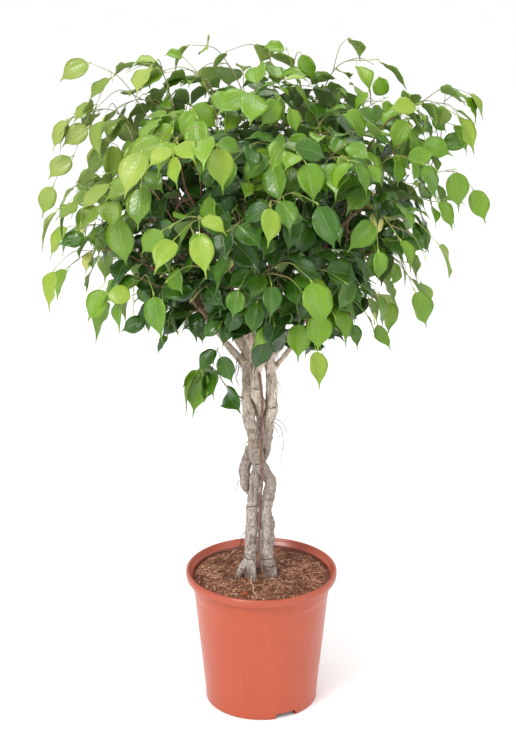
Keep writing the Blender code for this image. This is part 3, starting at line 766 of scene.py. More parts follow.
def fused_root(line, draw):
    """An old root half sunk in a stem's bark, winding a little way round it."""
    first = draw.randrange(0, 130)
    last = min(len(line) - 1, first + draw.randrange(45, 120))
    turn, wind = draw.uniform(0, 2 * pi), draw.uniform(-FUSED_TURN, FUSED_TURN)
    radius = draw.uniform(*FUSED_RADII)
    path = []
    for i in range(first, last, 3):
        share = (i - first) / (last - first)
        sunk = 0.15 * radius - 1.3 * radius * cos(pi * share) ** 6
        angle = turn + wind * share + 0.3 * sin(share * 9)
        path.append(Vector(line[i]) + direction(angle, 0) * (bark_radius(line[i][2]) + sunk))
    return tube(path, (radius * 0.6, radius, radius * 0.6), 8)


def distance_to(places, points):
    return np.min(np.linalg.norm(places[:, None, :] - points[None], axis=2), axis=1)


def bark_skin(name, stems, limbs):
    """A stem with its toes and limbs in one skin, with bark relief."""
    draw = random.Random(name)
    line = through(stems[name], 220)
    own = sum(map(ord, name))
    for point in line:
        sway = min(1.0, (point[2] - line[0][2]) / 0.05) * SWAY
        point[0] += sway * noise.noise((point[2] * 42, own, 3.3))
        point[1] += sway * noise.noise((point[2] * 42, own, 7.7))
    radii = []
    for _, _, z in line:
        wide = 1 + 0.10 * noise.noise((z * 34, own, 0.5)) + 0.08 * noise.noise((z * 95, own, 1.5))
        radii.append(bark_radius(z) * wide)
    shapes = [tube(line, radii, 24)]
    shapes += [fused_root(line, draw) for _ in range(FUSED_ROOTS)]
    shapes += [tube(through(limb[2], 30), limb[3], 12) for limb in limbs if limb[0] == name]
    for stem, turn, reach in TOES:
        if stem == name:
            shapes.append(tube(toe_line(stems[stem], radians(turn), reach), TOE_RADII, 16))
    places, normals, faces = one_skin(shapes, BARK_VOXEL)
    middle = np.array([curve_at(line[::10], share) for share in np.linspace(0, 1, 60)])
    away = distance_to(places, middle)
    thick = np.clip(1.25 - away / 0.030, 0.25, 1.0)
    raised = np.array([bark_height(p) for p in places]) * thick
    others = [np.array(stems[other]) for other in STEM_ROUTES if other != name]
    crevice = distance_to(places, np.concatenate(others))
    marks = {"raised": raised, "away": away, "crevice": crevice}
    return places + normals * raised[:, None], faces, marks


def bark_finish():
    look = Finish("pale fig bark", 0.82, 0.30)
    height, away = look.part("Z"), look.mark("away")
    upright = look.place(1.0, 1.0, 0.40)
    grain = look.cloud(460.0, 5.0, 0.70, upright)
    lower = look.ramp(grain, (0.30, 96, 82, 74), (0.45, 154, 141, 131), (0.64, 212, 203, 196))
    upper = look.ramp(grain, (0.30, 126, 106, 90), (0.44, 202, 184, 165), (0.64, 246, 235, 218))
    look.colour = look.mix(look.reach(height, 0.46, 0.62), lower, upper)
    below, above = look.reach(height, 0.36, 0.43), look.reach(height, 0.56, 0.50, 0.40)
    look.lay(look.maths("MULTIPLY", below, above), 112, 96, 82)
    twig = look.ramp(grain, (0.30, 96, 70, 54), (0.70, 156, 126, 102))
    look.colour = look.mix(look.reach(away, 0.020, 0.110), look.colour, twig)
    blotches = look.reach(look.cloud(55.0, 4.0, 0.6), 0.52, 0.72, 0.50)
    look.lay(blotches, 128, 104, 84)
    # Painted shade: the bark is darker where its relief is sunk, in its hollows.
    sunk_relief_shade = look.reach(look.mark("raised"), -0.00020, -0.00120, 0.60)
    look.lay(sunk_relief_shade, 84, 64, 54)
    # Painted shade: the bark is darker where a stem comes close to the others, in the crevices between
    # them.
    joint = look.reach(look.mark("crevice"), 0.0165, 0.0115, 0.75)
    look.lay(joint, 70, 54, 46)
    level = look.place(0.22, 0.22, 1.0)
    lines = look.reach(look.cloud(520.0, 4.0, 0.7, level), 0.55, 0.66, 0.42)
    look.lay(lines, 96, 76, 64)
    specks = look.reach(look.cloud(620.0, 6.0, 0.75), 0.57, 0.66, 0.55)
    look.lay(specks, 92, 70, 58)
    pores = look.add("TexVoronoi", {"Vector": upright, "Scale": 330.0}, "Distance")
    dots = look.reach(pores, 0.20, 0.08, 0.50)
    look.lay(dots, 226, 214, 198)
    # Darker towards the compost: partly damp bark at the foot, partly painted shade in the hollows
    # between the root toes.
    damp = look.reach(height, 0.262, 0.240, 0.55)
    look.lay(damp, 92, 70, 58)
    bumps, dents = look.maths("ADD", grain, dots), look.maths("ADD", specks, lines)
    return look.done(look.maths("SUBTRACT", bumps, dents), 0.9, 0.0013)


stems = plait()
limbs = grow_limbs(stems)
bark = bark_finish()
for name in STEM_ROUTES:
    places, faces, marks = bark_skin(name, stems, limbs)
    stem = piece(name.title() + "_bark", places, faces, [bark], "bark", marks)
    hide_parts(name)


# The aerial root and the hair roots. Thin red-brown roots that the stems let down:
# one thick enough to reach the compost down the front of the plait, short dry hairs
# that hang from the bark, and dark rings where old roots have grown round a stem.

ROOT_SEED = 5
# Each hair: the stem it leaves, the height, compass turn, length and how far it stands off
HAIRS = (
    ("stem_right", 0.537, -14, 0.060, 0.62), ("stem_right", 0.531, -32, 0.105, 0.26),
    ("stem_right", 0.524, 8, 0.036, 0.50), ("stem_left", 0.640, 190, 0.050, 0.45),
    ("stem_left", 0.632, 170, 0.038, 0.60), ("stem_left", 0.652, 205, 0.032, 0.70),
    ("stem_right", 0.610, 15, 0.040, 0.40), ("stem_front", 0.420, 175, 0.034, 0.40),
    ("stem_front", 0.640, 250, 0.030, 0.35), ("stem_right", 0.330, 170, 0.045, 0.45),
    ("stem_left", 0.505, 140, 0.040, 0.40), ("stem_front", 0.480, 60, 0.050, 0.35),
)
# Each ring: the stem, the height, the middle compass turn, the share of the stem that it
# goes round, and its tilt
RINGS = (
    ("stem_right", 0.378, 255, 0.55, 0.10), ("stem_right", 0.279, 215, 0.50, -0.20),
    ("stem_right", 0.256, 290, 0.55, 0.30), ("stem_left", 0.278, 280, 0.60, 0.15),
    ("stem_left", 0.264, 300, 0.50, -0.12), ("stem_right", 0.560, 300, 0.45, 0.35),
    ("stem_front", 0.600, 250, 0.45, -0.15), ("stem_left", 0.462, 260, 0.45, 0.20),
    ("stem_right", 0.500, 60, 0.60, 0.20), ("stem_front", 0.300, 70, 0.60, -0.10),
)
SURFACE_ROOTS = (
    [(-0.034, 0.018, 0.300), (-0.043, 0.040, 0.268), (-0.056, 0.058, 0.246), (-0.070, 0.075, 0.238)],
    [(0.004, -0.020, 0.262), (0.010, -0.034, 0.2500), (0.020, -0.050, 0.2455), (0.028, -0.070, 0.2400)],
    [(0.020, 0.020, 0.262), (0.040, 0.034, 0.2435), (0.062, 0.040, 0.2405), (0.082, 0.052, 0.237)],
    [(-0.012, 0.030, 0.262), (-0.020, 0.055, 0.2425), (-0.014, 0.080, 0.2400), (-0.022, 0.100, 0.237)],
)
PALE_ROOT = [
    (-0.017, -0.024, 0.250), (-0.0185, -0.044, 0.2448), (-0.0130, -0.062, 0.2444),
    (-0.0145, -0.080, 0.2440), (-0.0085, -0.096, 0.2430), (-0.010, -0.106, 0.2408),
]
BARK_CHIP = (-0.030, -0.092, 0.2462)
# Fine hairs on the heads of the stems: how many, how far up the limbs, their length, and how
# far they stand off
HEAD_HAIRS = 260
HEAD_HAIR_SHARE = 0.70
HEAD_HAIR_LENGTH = (0.015, 0.060)
HEAD_HAIR_STAND = (0.15, 0.6)
# The radii of each kind, from its foot to its tip
HAIR_RADII = (0.00085, 0.00065, 0.00030)
HEAD_HAIR_RADII = (0.00036, 0.00026, 0.00014)
SURFACE_ROOT_RADII = (0.0013, 0.0009, 0.0005)
PALE_ROOT_RADII = (0.0010, 0.0008, 0.0005)
RING_RADII = (0.0003, 0.0008, 0.0003)


def hanging(start, out, length, stand, draw):
    """A dry root that leaves the bark, bends over and hangs."""
    points = [start]
    for k in range(1, 5):
        share = k / 4
        off = out * length * stand * sin(share * 2.2) * 0.5
        drop = UP * length * share**1.6
        drift = Vector((draw.uniform(-1, 1), draw.uniform(-1, 1), 0)) * length * 0.06
        points.append(start + off - drop + drift)
    return points


def hair_line(stem, height, turn, length, stand, draw):
    out = direction(turn, 0)
    start = near_height(stem, height) + out * (float(stem_radius(height)) - 0.001)
    return hanging(start, out, length, stand, draw)


def head_hair(limb, draw):
    """A fine hair that hangs from a limb near the head of its stem."""
    _, _, line, radii = limb
    share = HEAD_HAIR_SHARE * draw.random() ** 1.4
    base, along = point_at(line, share)
    aside = along.cross(direction(draw.uniform(0, 2 * pi), -0.4)).normalized()
    start = base + aside * (radii[0] + (radii[1] - radii[0]) * share - 0.0006)
    length, stand = draw.uniform(*HEAD_HAIR_LENGTH), draw.uniform(*HEAD_HAIR_STAND)
    return hanging(start, aside, length, stand, draw)


def ring_line(stem, height, turn, share, tilt):
    """An old root's scar, laid round part of a stem."""
    centre = near_height(stem, height)
    radius = float(stem_radius(height)) + 0.0002
    points = []
    for k in range(13):
        angle = turn + (k / 12 - 0.5) * 2 * pi * share
        rise = tilt * radius * sin(angle - turn) + 0.0006 * sin(angle * 3)
        points.append(centre + direction(angle, 0) * radius + UP * rise)
    return points


def knotted_root(line):
    """The aerial root, a little uneven, pressed to the bark."""
    radii = [
        float(np.interp(i, (0, 149), AERIAL_ROOT_RADII)) * (1 + 0.22 * noise.noise((i * 0.21, 3, 1)))
        for i in range(150)
    ]
    return tube(through(line[::3], 150), radii, 12)


def root_finish(name, dark, light):
    look = Finish(name, 0.74, 0.35)
    grain = look.cloud(500.0, 4.0, 0.6, look.place(1.0, 1.0, 0.25))
    look.colour = look.ramp(grain, (0.30, *dark), (0.72, *light))
    return look.done(grain, 0.45, 0.0007)


root_draw = random.Random(ROOT_SEED)
root_bark = root_finish("red-brown root bark", (76, 53, 45), (142, 108, 95))
aerial_root = piece("Aerial_root_bark", *knotted_root(stems["aerial_root"]), [root_bark], "root_bark")
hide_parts("aerial_root")

hair_shapes = []
for stem, height, turn, length, stand in HAIRS:
    line = hair_line(stems[stem], height, radians(turn), length, stand, root_draw)
    hair_shapes.append(tube(through(line, 20), HAIR_RADII, 6))
for number in range(HEAD_HAIRS):
    line = head_hair(limbs[number % len(limbs)], root_draw)
    hair_shapes.append(tube(through(line, 9), HEAD_HAIR_RADII, 3))
for line in SURFACE_ROOTS:
    hair_shapes.append(tube(through(line, 26), SURFACE_ROOT_RADII, 7))
piece("Hair_roots", *gather(hair_shapes), [root_bark], "root_bark")

pale = root_finish("pale young root", (176, 144, 112), (222, 196, 164))
pale_shape = tube(through(PALE_ROOT, 40), PALE_ROOT_RADII, 7)
piece("Pale_surface_root", *pale_shape, [pale], "root_bark")

chip_points, chip_faces = chip(root_draw, 0.017, 0.014, 0.0018)
spin = Matrix.Rotation(0.42, 3, "X") @ Matrix.Rotation(0.8, 3, "Z")
chip_points = [Vector(BARK_CHIP) + spin @ point for point in chip_points]
chip_bark = root_finish("red-brown bark chip", (104, 43, 25), (168, 85, 53))
piece("Red_bark_chip", chip_points, chip_faces, [chip_bark], "compost")

scar = root_finish("dark root scar", (62, 48, 40), (112, 90, 76))
ring_shapes = []
for stem, height, turn, share, tilt in RINGS:
    line = ring_line(stems[stem], height, radians(turn), share, tilt)
    ring_shapes.append(tube(through(line, 30), RING_RADII, 7))
piece("Root_scars", *gather(ring_shapes), [scar], "root_bark")


# The sprays. Each limb bears long drooping shoots with side shoots, and glossy
# pointed leaves hang from them on thin stalks: bright yellow-green while young and
# near the light, dark green further in. One piece to each spray.

SPRAYS_ON_LIMB = ((1.0, 0.0), (0.80, 1.0), (0.60, 2.0))
SPRAY_SPREAD = tan(radians(13))
SPRAY_SHARE = (0.72, 1.00)
SPRAY_TURN_VARIES = 0.15
SHOOT_PULL = 0.30
SHOOT_LIFT = 0.10
SHOOT_RINGS = 4
SHOOT_RADII = (0.0016, 0.0011)
SIDE_SHOOT_RADII = (0.0007, 0.0012, 0.0009)
SIDE_SHOOTS = ((0.42, 1), (0.66, -1))
SIDE_SHOOT_LENGTH = (0.075, 0.105)
SIDE_SHOOT_ALONG, SIDE_SHOOT_UP = 0.75, 0.12
SIDE_SHOOT_ASIDE = (0.55, 0.95)
SIDE_SHOOT_DROOP = (0.6, 1.1)
SHOOT_SIDES = 3
GAP = 0.0004
LOW_SPRIG_HEIGHT = 0.566
LOW_SPRIG_REACH = Vector((-0.072, -0.030, 0.072))
LOW_SPRIG_PLACES = (0, 1, 2, 3, 4)
LEAF_LENGTH = (0.060, 0.078)
LEAF_SHAPE = (0.50, 0.60)
LEAF_SPACING = 0.0185
LEAF_PLACES = ((0, 3, 6), (0, 3), (0,))
BARE_SHARE = 0.25
LEAF_THICKNESS = 0.0007
LEAF_SET_OUT = 0.0004
LEAF_ALONG, LEAF_ASIDE, LEAF_OUTWARD, LEAF_HANG = 0.55, 0.85, 0.20, 0.60
FACE_OUTWARD, FACE_UP = 0.85, 0.75
LEAF_SAG = 0.16
LEAF_FOLD = 0.17
LEAF_LOOSENESS = (0.12, 0.05)
MARGIN = 0.0008
TRIES = 16
SEED = 3

# What the solids leave out: more side shoots, leaves at every place, and inner shoots
FILL_SEED = 21
MORE_SIDE_SHOOTS = ((0.30, -1), (0.54, 1), (0.78, -1))
MORE_SIDE_LENGTH = (0.050, 0.085)
FILL_PLACES = range(12)
FILL_BARE_SHARE = 0.12
FILL_TRIES = 7
FILL_LOOSENESS = (0.34, 0.06)
FILL_HANG = (-0.35, 0.70)
INNER_SHOOTS = (0.38, 0.46, 0.54, 0.62, 0.70, 0.78, 0.86, 0.94)
INNER_SHARE = (0.50, 0.84)
INNER_SPREAD = tan(radians(24))
# How much of its reach the crown is dense to, by elevation in degrees, right and left
DENSE_ELEVATIONS = (-20, 0, 20, 45, 70, 90)
DENSE_RIGHT = (0.84, 0.84, 0.86, 0.92, 0.94, 0.97)
DENSE_LEFT = (0.80, 0.72, 0.70, 0.82, 0.93, 0.97)
# How often a leaf grows past the dense part, low and high, and where high begins
OUTER_LEAVES = (0.06, 0.28)
OUTER_HIGH = 25
# Low shoots that hang from the lowest limbs: how many, how low they point and how far
LOW_SHOOTS = 13
LOW_RISE = (-20, -4)
LOW_REACH = (0.72, 0.90)
LOW_LIMB_SHARE = (0.34, 0.62)
# The low sprig's hanging leaves: how far along it, which way they point, and their length
SPRIG_LEAVES = (
    (0.84, (0.10, -0.45, -1.0), 0.060),
    (0.94, (-0.25, -0.40, -1.0), 0.074),
    (1.00, (-0.62, -0.25, -0.62), 0.044),
)
# Its two uppermost leaves: the x, y and z of the joint, the x and z of the tip, and the youth
SPRIG_TOP = (
    (-0.074, -0.034, 0.676, -0.110, 0.647, 0.24), (-0.072, -0.036, 0.668, -0.048, 0.622, 0.28),
)
# The same of the lone leaves past the dense crown
LONE_LEAVES = (
    (-0.276, -0.02, 1.159, -0.328, 1.14, 0.62), (-0.243, -0.02, 1.136, -0.285, 1.108, 0.52),
    (-0.268, -0.03, 1.094, -0.311, 1.08, 0.58), (-0.278, -0.03, 1.058, -0.327, 1.036, 0.66),
    (-0.317, 0.0, 1.065, -0.35, 1.021, 0.72), (-0.309, -0.02, 1.008, -0.352, 0.972, 0.64),
    (-0.346, 0.0, 0.954, -0.37, 0.908, 0.74), (-0.288, -0.04, 0.874, -0.337, 0.868, 0.28),
    (-0.284, -0.02, 0.846, -0.297, 0.813, 0.90), (-0.192, -0.03, 0.728, -0.237, 0.711, 0.16),
    (0.311, -0.06, 0.993, 0.329, 0.933, 0.60), (0.347, -0.03, 0.955, 0.372, 0.903, 0.64),
    (0.286, -0.07, 0.947, 0.319, 0.904, 0.58), (0.295, 0.0, 1.018, 0.343, 1.038, 0.42),
    (0.304, 0.02, 1.106, 0.346, 1.099, 0.55), (0.332, 0.0, 1.103, 0.36, 1.068, 0.60),
    (0.211, -0.05, 0.768, 0.225, 0.717, 0.68), (0.043, 0.1, 1.161, 0.004, 1.171, 0.58),
    (-0.13, 0.09, 1.149, -0.161, 1.164, 0.60), (-0.158, 0.03, 1.139, -0.205, 1.12, 0.55),
    (0.193, -0.06, 0.732, 0.209, 0.687, 0.55), (-0.253, -0.05, 1.039, -0.279, 0.991, 0.62),
    (-0.259, -0.04, 0.974, -0.307, 0.963, 0.34), (-0.241, -0.08, 1.041, -0.238, 0.979, 0.60),
    (-0.185, -0.1, 1.034, -0.228, 1.02, 0.76), (-0.226, -0.03, 1.065, -0.257, 1.034, 0.55),
    (0.063, 0.05, 1.166, 0.085, 1.123, 0.50), (0.201, 0.0, 1.098, 0.186, 1.138, 0.55),
    (0.175, -0.02, 1.114, 0.147, 1.088, 0.60), (0.279, 0.0, 1.064, 0.304, 1.049, 0.50),
    (0.314, 0.0, 1.055, 0.348, 1.018, 0.52), (0.15, -0.08, 0.739, 0.164, 0.701, 0.28),
    (-0.159, -0.03, 0.701, -0.182, 0.673, 0.20), (-0.262, -0.03, 0.897, -0.272, 0.845, 0.45),
    (0.251, -0.02, 0.894, 0.284, 0.849, 0.34),
)
LONE_SHARES = (0.55, 0.70, 0.85, 1.00)
TIP_FORWARD = 0.012
TWIG_ARCH = 0.16
FACING = Vector((0.0, -0.80, 0.60))
FACING_LOOSENESS = 0.22

# The blade: places along it from the stalk to the drip tip, and half widths there
BLADE_ALONG = np.array((0.0, 0.03, 0.09, 0.18, 0.30, 0.43, 0.55, 0.65, 0.73, 0.80, 0.87, 1.0))
BLADE_HALF = np.array((0.10, 0.36, 0.64, 0.87, 1.01, 1.06, 1.02, 0.90, 0.68, 0.36, 0.11, 0.02))
BLADE_ACROSS = np.array((-1.0, -0.66, -0.30, 0.0, 0.30, 0.66, 1.0))
# The shaded leaves inside the crown are made of fewer faces
SHADED_ACROSS = np.array((-1.0, -0.52, 0.0, 0.52, 1.0))
BLADE_THICKNESS = 0.0005
# How each blade varies: its fold, its waves' count, offset and height, its sag and hanging tip
BLADE_FOLD = (0.10, 0.42)
BLADE_WAVES = (1.4, 3.2)
WAVE_OFFSET = (0.6, 2.4)
WAVE_HEIGHT = (0.014, 0.042)
BLADE_SAG = (0.15, 0.36)
BLADE_BEND, BLADE_TWIST = 0.05, 0.40
TIP_HANG = (0.30, 1.10)
# How a main and a side shoot are shown: rings, sides, radii, and how woody they are at the foot
MAIN_LOOK = (18, 6, (0.0016, 0.0010, 0.0006), 1.0)
SIDE_LOOK = (9, 5, (0.0008, 0.0007, 0.0005), 0.2)
BUD_RADII = (0.0008, 0.0009, 0.0001)
STALK_SHARE = (0.08, 0.14)
STALK_RADIUS = 0.00060
LEAF_SIZE = (0.72, 1.00)
FILL_SIZE = (0.56, 0.94)
YOUNG_SIZE = (0.46, 0.78)
BROADER = (0.98, 1.20)
LEAF_ROLL = 0.30
# How far to the side and how high up the leaves are younger, and by how much
YOUNG_SIDES = 0.15
YOUNG_TOP = 1.04
YOUNGER = 0.08
YOUTH_VARIES = 0.19
# How far to the left the leaves are painted paler and olive, as painted light
PALER_LIT_SIDE = (-0.14, -0.27)
YELLOW_LEAVES = 0.011
YELLOW_SIZE = (0.55, 0.75)


class Crowd:
    """What already stands in the crown, so that nothing new is put through it."""

    def __init__(self):
        self.centres = np.zeros((0, 3))
        self.radii = np.zeros(0)
        self.trees = []
        self.owners = []

    def _ball(self, points):
        corners = np.array([tuple(p) for p in points])
        centre = (corners.min(0) + corners.max(0)) / 2
        return centre, float(np.linalg.norm(corners - centre, axis=1).max())

    def touches(self, shape, but):
        centre, radius = self._ball(shape[0])
        near = np.linalg.norm(self.centres - centre, axis=1) < self.radii + radius
        tree = BVHTree.FromPolygons(*shape)
        return any(
            self.owners[i] != but and tree.overlap(self.trees[i]) for i in np.flatnonzero(near)
        )

    def add(self, shape, owner):
        centre, radius = self._ball(shape[0])
        self.centres = np.vstack([self.centres, centre])
        self.radii = np.append(self.radii, radius)
        self.trees.append(BVHTree.FromPolygons(*shape))
        self.owners.append(owner)

    def settle(self, shape, owner, but):
        """Adds a shape if it touches nothing but what it grows from, and says whether it did."""
        clear = not self.touches(shape, but)
        if clear:
            self.add(shape, owner)
        return clear


class Shoot:
    """A leafy shoot: its knots, radii, leaf places, leaves, and where its visible foot starts."""

    def __init__(self, line, radii, places, leaving=None, foot=None):
        self.line = line
        self.radii = radii
        self.places = places
        self.leaving = leaving
        self.foot = foot
        self.leaves = []
        self.youth = None

    def solid(self, grow=0.0):
        return tube(self.line, [r + grow for r in self.radii], SHOOT_SIDES, self.leaving)

    def length(self):
        return sum((b - a).length for a, b in zip(self.line, self.line[1:]))


def drooping_shoot(start, out, target, places):
    """A shoot that leaves its bark squarely, arches over and ends at the target."""
    span = (target - start).length
    flat = Vector((target.x, target.y, 0)).normalized()
    droop = (flat - UP).normalized()
    lift = UP * SHOOT_LIFT * span
    pull = SHOOT_PULL * span
    line = bezier(
        start, start + out * pull + lift, target - droop * pull + lift, target, SHOOT_RINGS
    )
    return Shoot(line, SHOOT_RADII, places, out)


def seat(bark, base, aside):
    """Where a way out from inside a bark tube comes to its surface, and how that faces."""
    surface, out, _, _ = BVHTree.FromPolygons(*bark).ray_cast(base, aside)
    return surface + out * GAP, out


def shoot_on_limb(limb, share, target):
    _, _, line, radii = limb
    base, along = point_at(line, share)
    start, out = base + along * GAP, along
    if share < 1.0:
        start, out = seat(tube(line, radii, LIMB_SIDES), base, square_to(along, target - base))
    shoot = drooping_shoot(start, out, target, LEAF_PLACES[0])
    shoot.foot = curve_at(line, share)
    return shoot


def low_sprig(stem):
    """A young shoot low on the left stem."""
    base = near_height(stem, LOW_SPRIG_HEIGHT)
    aside = Vector((LOW_SPRIG_REACH.x, LOW_SPRIG_REACH.y, 0)).normalized()
    start, out = seat(stem_tube(stem), base, aside)
    shoot = drooping_shoot(start, out, start + LOW_SPRIG_REACH, LOW_SPRIG_PLACES)
    shoot.foot = np.array(base)
    return shoot


def side_shoot(parent, share, side, places, draw, lengths=SIDE_SHOOT_LENGTH):
    """A short shoot that leaves its parent sideways and hangs over at its end."""
    start, along = point_at(parent.line, share)
    beside = along.cross(UP).normalized() * side
    length = draw.uniform(*lengths)
    leaving = along * SIDE_SHOOT_ALONG + beside * draw.uniform(*SIDE_SHOOT_ASIDE)
    leaving = (leaving + UP * SIDE_SHOOT_UP).normalized()
    hanging = (leaving - UP * draw.uniform(*SIDE_SHOOT_DROOP)).normalized()
    middle = start + leaving * length / 2
    line = [start, middle, middle + hanging * length / 2]
    return Shoot(line, SIDE_SHOOT_RADII, places, foot=curve_at(parent.line, share))


def wander(draw, looseness):
    return Vector([draw.gauss(0, looseness) for _ in range(3)])


def leaf_frame(shoot, place, draw, looseness, bare=BARE_SHARE, hang=LEAF_HANG):
    """A leaf's root, axis, upper face direction, length and width, or None past the leafy part."""
    back = place * LEAF_SPACING / shoot.length()
    if back > 1 - bare:
        return None
    root, along = point_at(shoot.line, 1 - back)
    outward = Vector((root.x, root.y, 0.35 * (root.z - CROWN_MIDDLE.z))).normalized()
    beside = along.cross(UP).normalized()
    side = 0 if place == 0 else (1 if place % 2 else -1)
    axis = along * LEAF_ALONG + beside * side * LEAF_ASIDE + outward * LEAF_OUTWARD
    axis += wander(draw, looseness) - UP * hang
    axis.normalize()
    face = square_to(axis, outward * FACE_OUTWARD + UP * FACE_UP + wander(draw, looseness))
    root = root + square_to(along, axis) * LEAF_SET_OUT
    length = draw.uniform(*LEAF_LENGTH)
    return root, axis, face, length, length * draw.uniform(*LEAF_SHAPE)


# Six corners round the upper side and the same under it, then the tip
ROOM_FACES = [
    (0, 4, 1), (6, 7, 10), (5, 4, 3), (11, 9, 10), (5, 3, 12), (11, 12, 9), (5, 12, 2), (11, 8, 12),
    (5, 2, 1), (11, 7, 8), (5, 1, 4), (11, 10, 7), (0, 10, 4), (0, 6, 10), (4, 9, 3), (4, 10, 9),
    (3, 9, 12), (12, 8, 2), (2, 7, 1), (2, 8, 7), (1, 6, 0), (1, 7, 6),
]


def leaf_solid(frame, margin=0.0):
    """The room that a blade takes up, as few-sided as it can be."""
    root, axis, face, length, width = frame
    beside = face.cross(axis)

    def at(share, across, lift):
        sag = LEAF_SAG * length * share**2
        return root + axis * (length * share) + beside * across + face * (lift - sag)

    half = LEAF_THICKNESS / 2 + margin
    wide, narrow, raised = 0.49 * width + margin, 0.35 * width + margin, LEAF_FOLD * width
    corners = (
        (0, 0, 0), (0.36, wide, raised), (0.70, narrow, raised), (0.70, -narrow, raised),
        (0.36, -wide, raised), (0.52, 0, 0),
    )
    points = [at(share, across, up + lift) for lift in (half, -half) for share, across, up in corners]
    return [*points, at(1.0, 0, 0)], ROOM_FACES


def aimed(way, spread, turn):
    """A direction near another one, turned round it."""
    across = way.orthogonal().normalized()
    aim = way + spread * (cos(turn) * across + sin(turn) * way.cross(across))
    return aim.normalized()


def main_shoots(limbs, crowd, draw):
    """Three shoots on each limb, aimed round the limb's own direction."""
    grown = []
    for number, limb in enumerate(limbs):
        first = draw.uniform(0, 2 * pi)
        for share, third in SPRAYS_ON_LIMB:
            for _ in range(TRIES):
                turn = first + third * 2 * pi / 3 + draw.gauss(0, SPRAY_TURN_VARIES)
                aim = aimed(limb[1], SPRAY_SPREAD, turn)
                reach = crown_reach(aim) * draw.uniform(*SPRAY_SHARE)
                shoot = shoot_on_limb(limb, share, CROWN_MIDDLE + aim * reach)
                name = f"shoot {len(grown) + 1} 0"
                if crowd.settle(shoot.solid(MARGIN), name, f"limb {number}"):
                    grown.append(shoot)
                    break
    return grown


def side_shoots(parent, number, crowd, draw):
    grown = []
    for k, (share, side) in enumerate(SIDE_SHOOTS, 1):
        for _ in range(TRIES):
            shoot = side_shoot(parent, share, side, LEAF_PLACES[k], draw)
            if crowd.settle(shoot.solid(MARGIN), f"shoot {number} {k}", f"shoot {number} 0"):
                grown.append(shoot)
                break
    return grown


def grow_leaves(shoot, owner, crowd, draw):
    """Leaves at the shoot's places, each drawn again, more loosely, until it is clear."""
    for place in shoot.places:
        for attempt in range(TRIES):
            looseness = LEAF_LOOSENESS[0] + LEAF_LOOSENESS[1] * attempt
            frame = leaf_frame(shoot, place, draw, looseness)
            if frame is None:
                break
            if crowd.settle(leaf_solid(frame, MARGIN), f"{owner} leaf {place}", owner):
                shoot.leaves.append((place, frame))
                break


def grow_sprays(limbs, stems, crowd):
    """Every spray as a list of shoots, the main one first. The low sprig comes last."""
    draw = random.Random(SEED)
    for number, (_, _, line, radii) in enumerate(limbs):
        crowd.add(tube(line, [r + MARGIN for r in radii], LIMB_SIDES), f"limb {number}")
    for name in STEM_ROUTES:
        crowd.add(stem_tube(stems[name], MARGIN), name)
    sprays = []
    for number, shoot in enumerate(main_shoots(limbs, crowd, draw), 1):
        sprays.append([shoot, *side_shoots(shoot, number, crowd, draw)])
    sprays.append([low_sprig(stems["stem_left"])])
    crowd.add(sprays[-1][0].solid(MARGIN), f"shoot {len(sprays)} 0")
    for number, spray in enumerate(sprays, 1):
        for k, shoot in enumerate(spray):
            grow_leaves(shoot, f"shoot {number} {k}", crowd, draw)
    return sprays


def inside(points, room=0.0015):
    """True if all the points are well within the plant's box."""
    low, high = cad_box
    return all(low[i] + room < p[i] < high[i] - room for p in points for i in range(3))


def has_room(point, draw):
    """True within the dense crown, and now and then past it, mostly on its upper half."""
    from_middle = Vector(point) - CROWN_MIDDLE
    way = from_middle.normalized()
    rise = degrees(asin(way.z))
    dense = crown_reach(way) * by_side(way, rise, DENSE_ELEVATIONS, DENSE_RIGHT, DENSE_LEFT)
    return from_middle.length < dense or draw.random() < OUTER_LEAVES[rise > OUTER_HIGH]


def resized(frame, draw, size):
    root, axis, face, length, width = frame
    size = draw.uniform(*size)
    return root, axis, face, length * size, width * size * draw.uniform(*BROADER)


def fill_leaves(shoot, owner, crowd, draw):
    """Leaves at the places that are still free, few of them past the dense part."""
    taken = {place for place, _ in shoot.leaves}
    for place in FILL_PLACES:
        if place in taken:
            continue
        for attempt in range(FILL_TRIES):
            looseness = FILL_LOOSENESS[0] + FILL_LOOSENESS[1] * attempt
            hang = draw.uniform(*FILL_HANG)
            frame = leaf_frame(shoot, place, draw, looseness, FILL_BARE_SHARE, hang)
            if frame is None:
                break
            frame = resized(frame, draw, YOUNG_SIZE if place == 0 else FILL_SIZE)
            middle = frame[0] + frame[1] * frame[3] / 2
            if not has_room(middle, draw):
                break
            room = leaf_solid(frame, MARGIN / 2)
            if inside(room[0]) and crowd.settle(room, f"{owner} leaf {place}", owner):
                shoot.leaves.append((place, frame))
                break


def fill_out(sprays, crowd, draw):
    """Gives every spray more side shoots, the low sprig none, and then more leaves."""
    for number, spray in enumerate(sprays[:-1], 1):
        for k, (share, side) in enumerate(MORE_SIDE_SHOOTS, 3):
            shoot = side_shoot(spray[0], share, side, (), draw, MORE_SIDE_LENGTH)
            names = f"shoot {number} {k}", f"shoot {number} 0"
            if inside(shoot.line) and crowd.settle(shoot.solid(), *names):
                spray.append(shoot)
    for number, spray in enumerate(sprays, 1):
        for k, shoot in enumerate(spray):
            fill_leaves(shoot, f"shoot {number} {k}", crowd, draw)


def facing_leaf(joint, axis, length, draw):
    """A leaf that shows its upper face to the front and up."""
    axis = Vector(axis).normalized()
    face = square_to(axis, FACING + wander(draw, FACING_LOOSENESS))
    return Vector(joint), axis, face, length, length * draw.uniform(*LEAF_SHAPE)


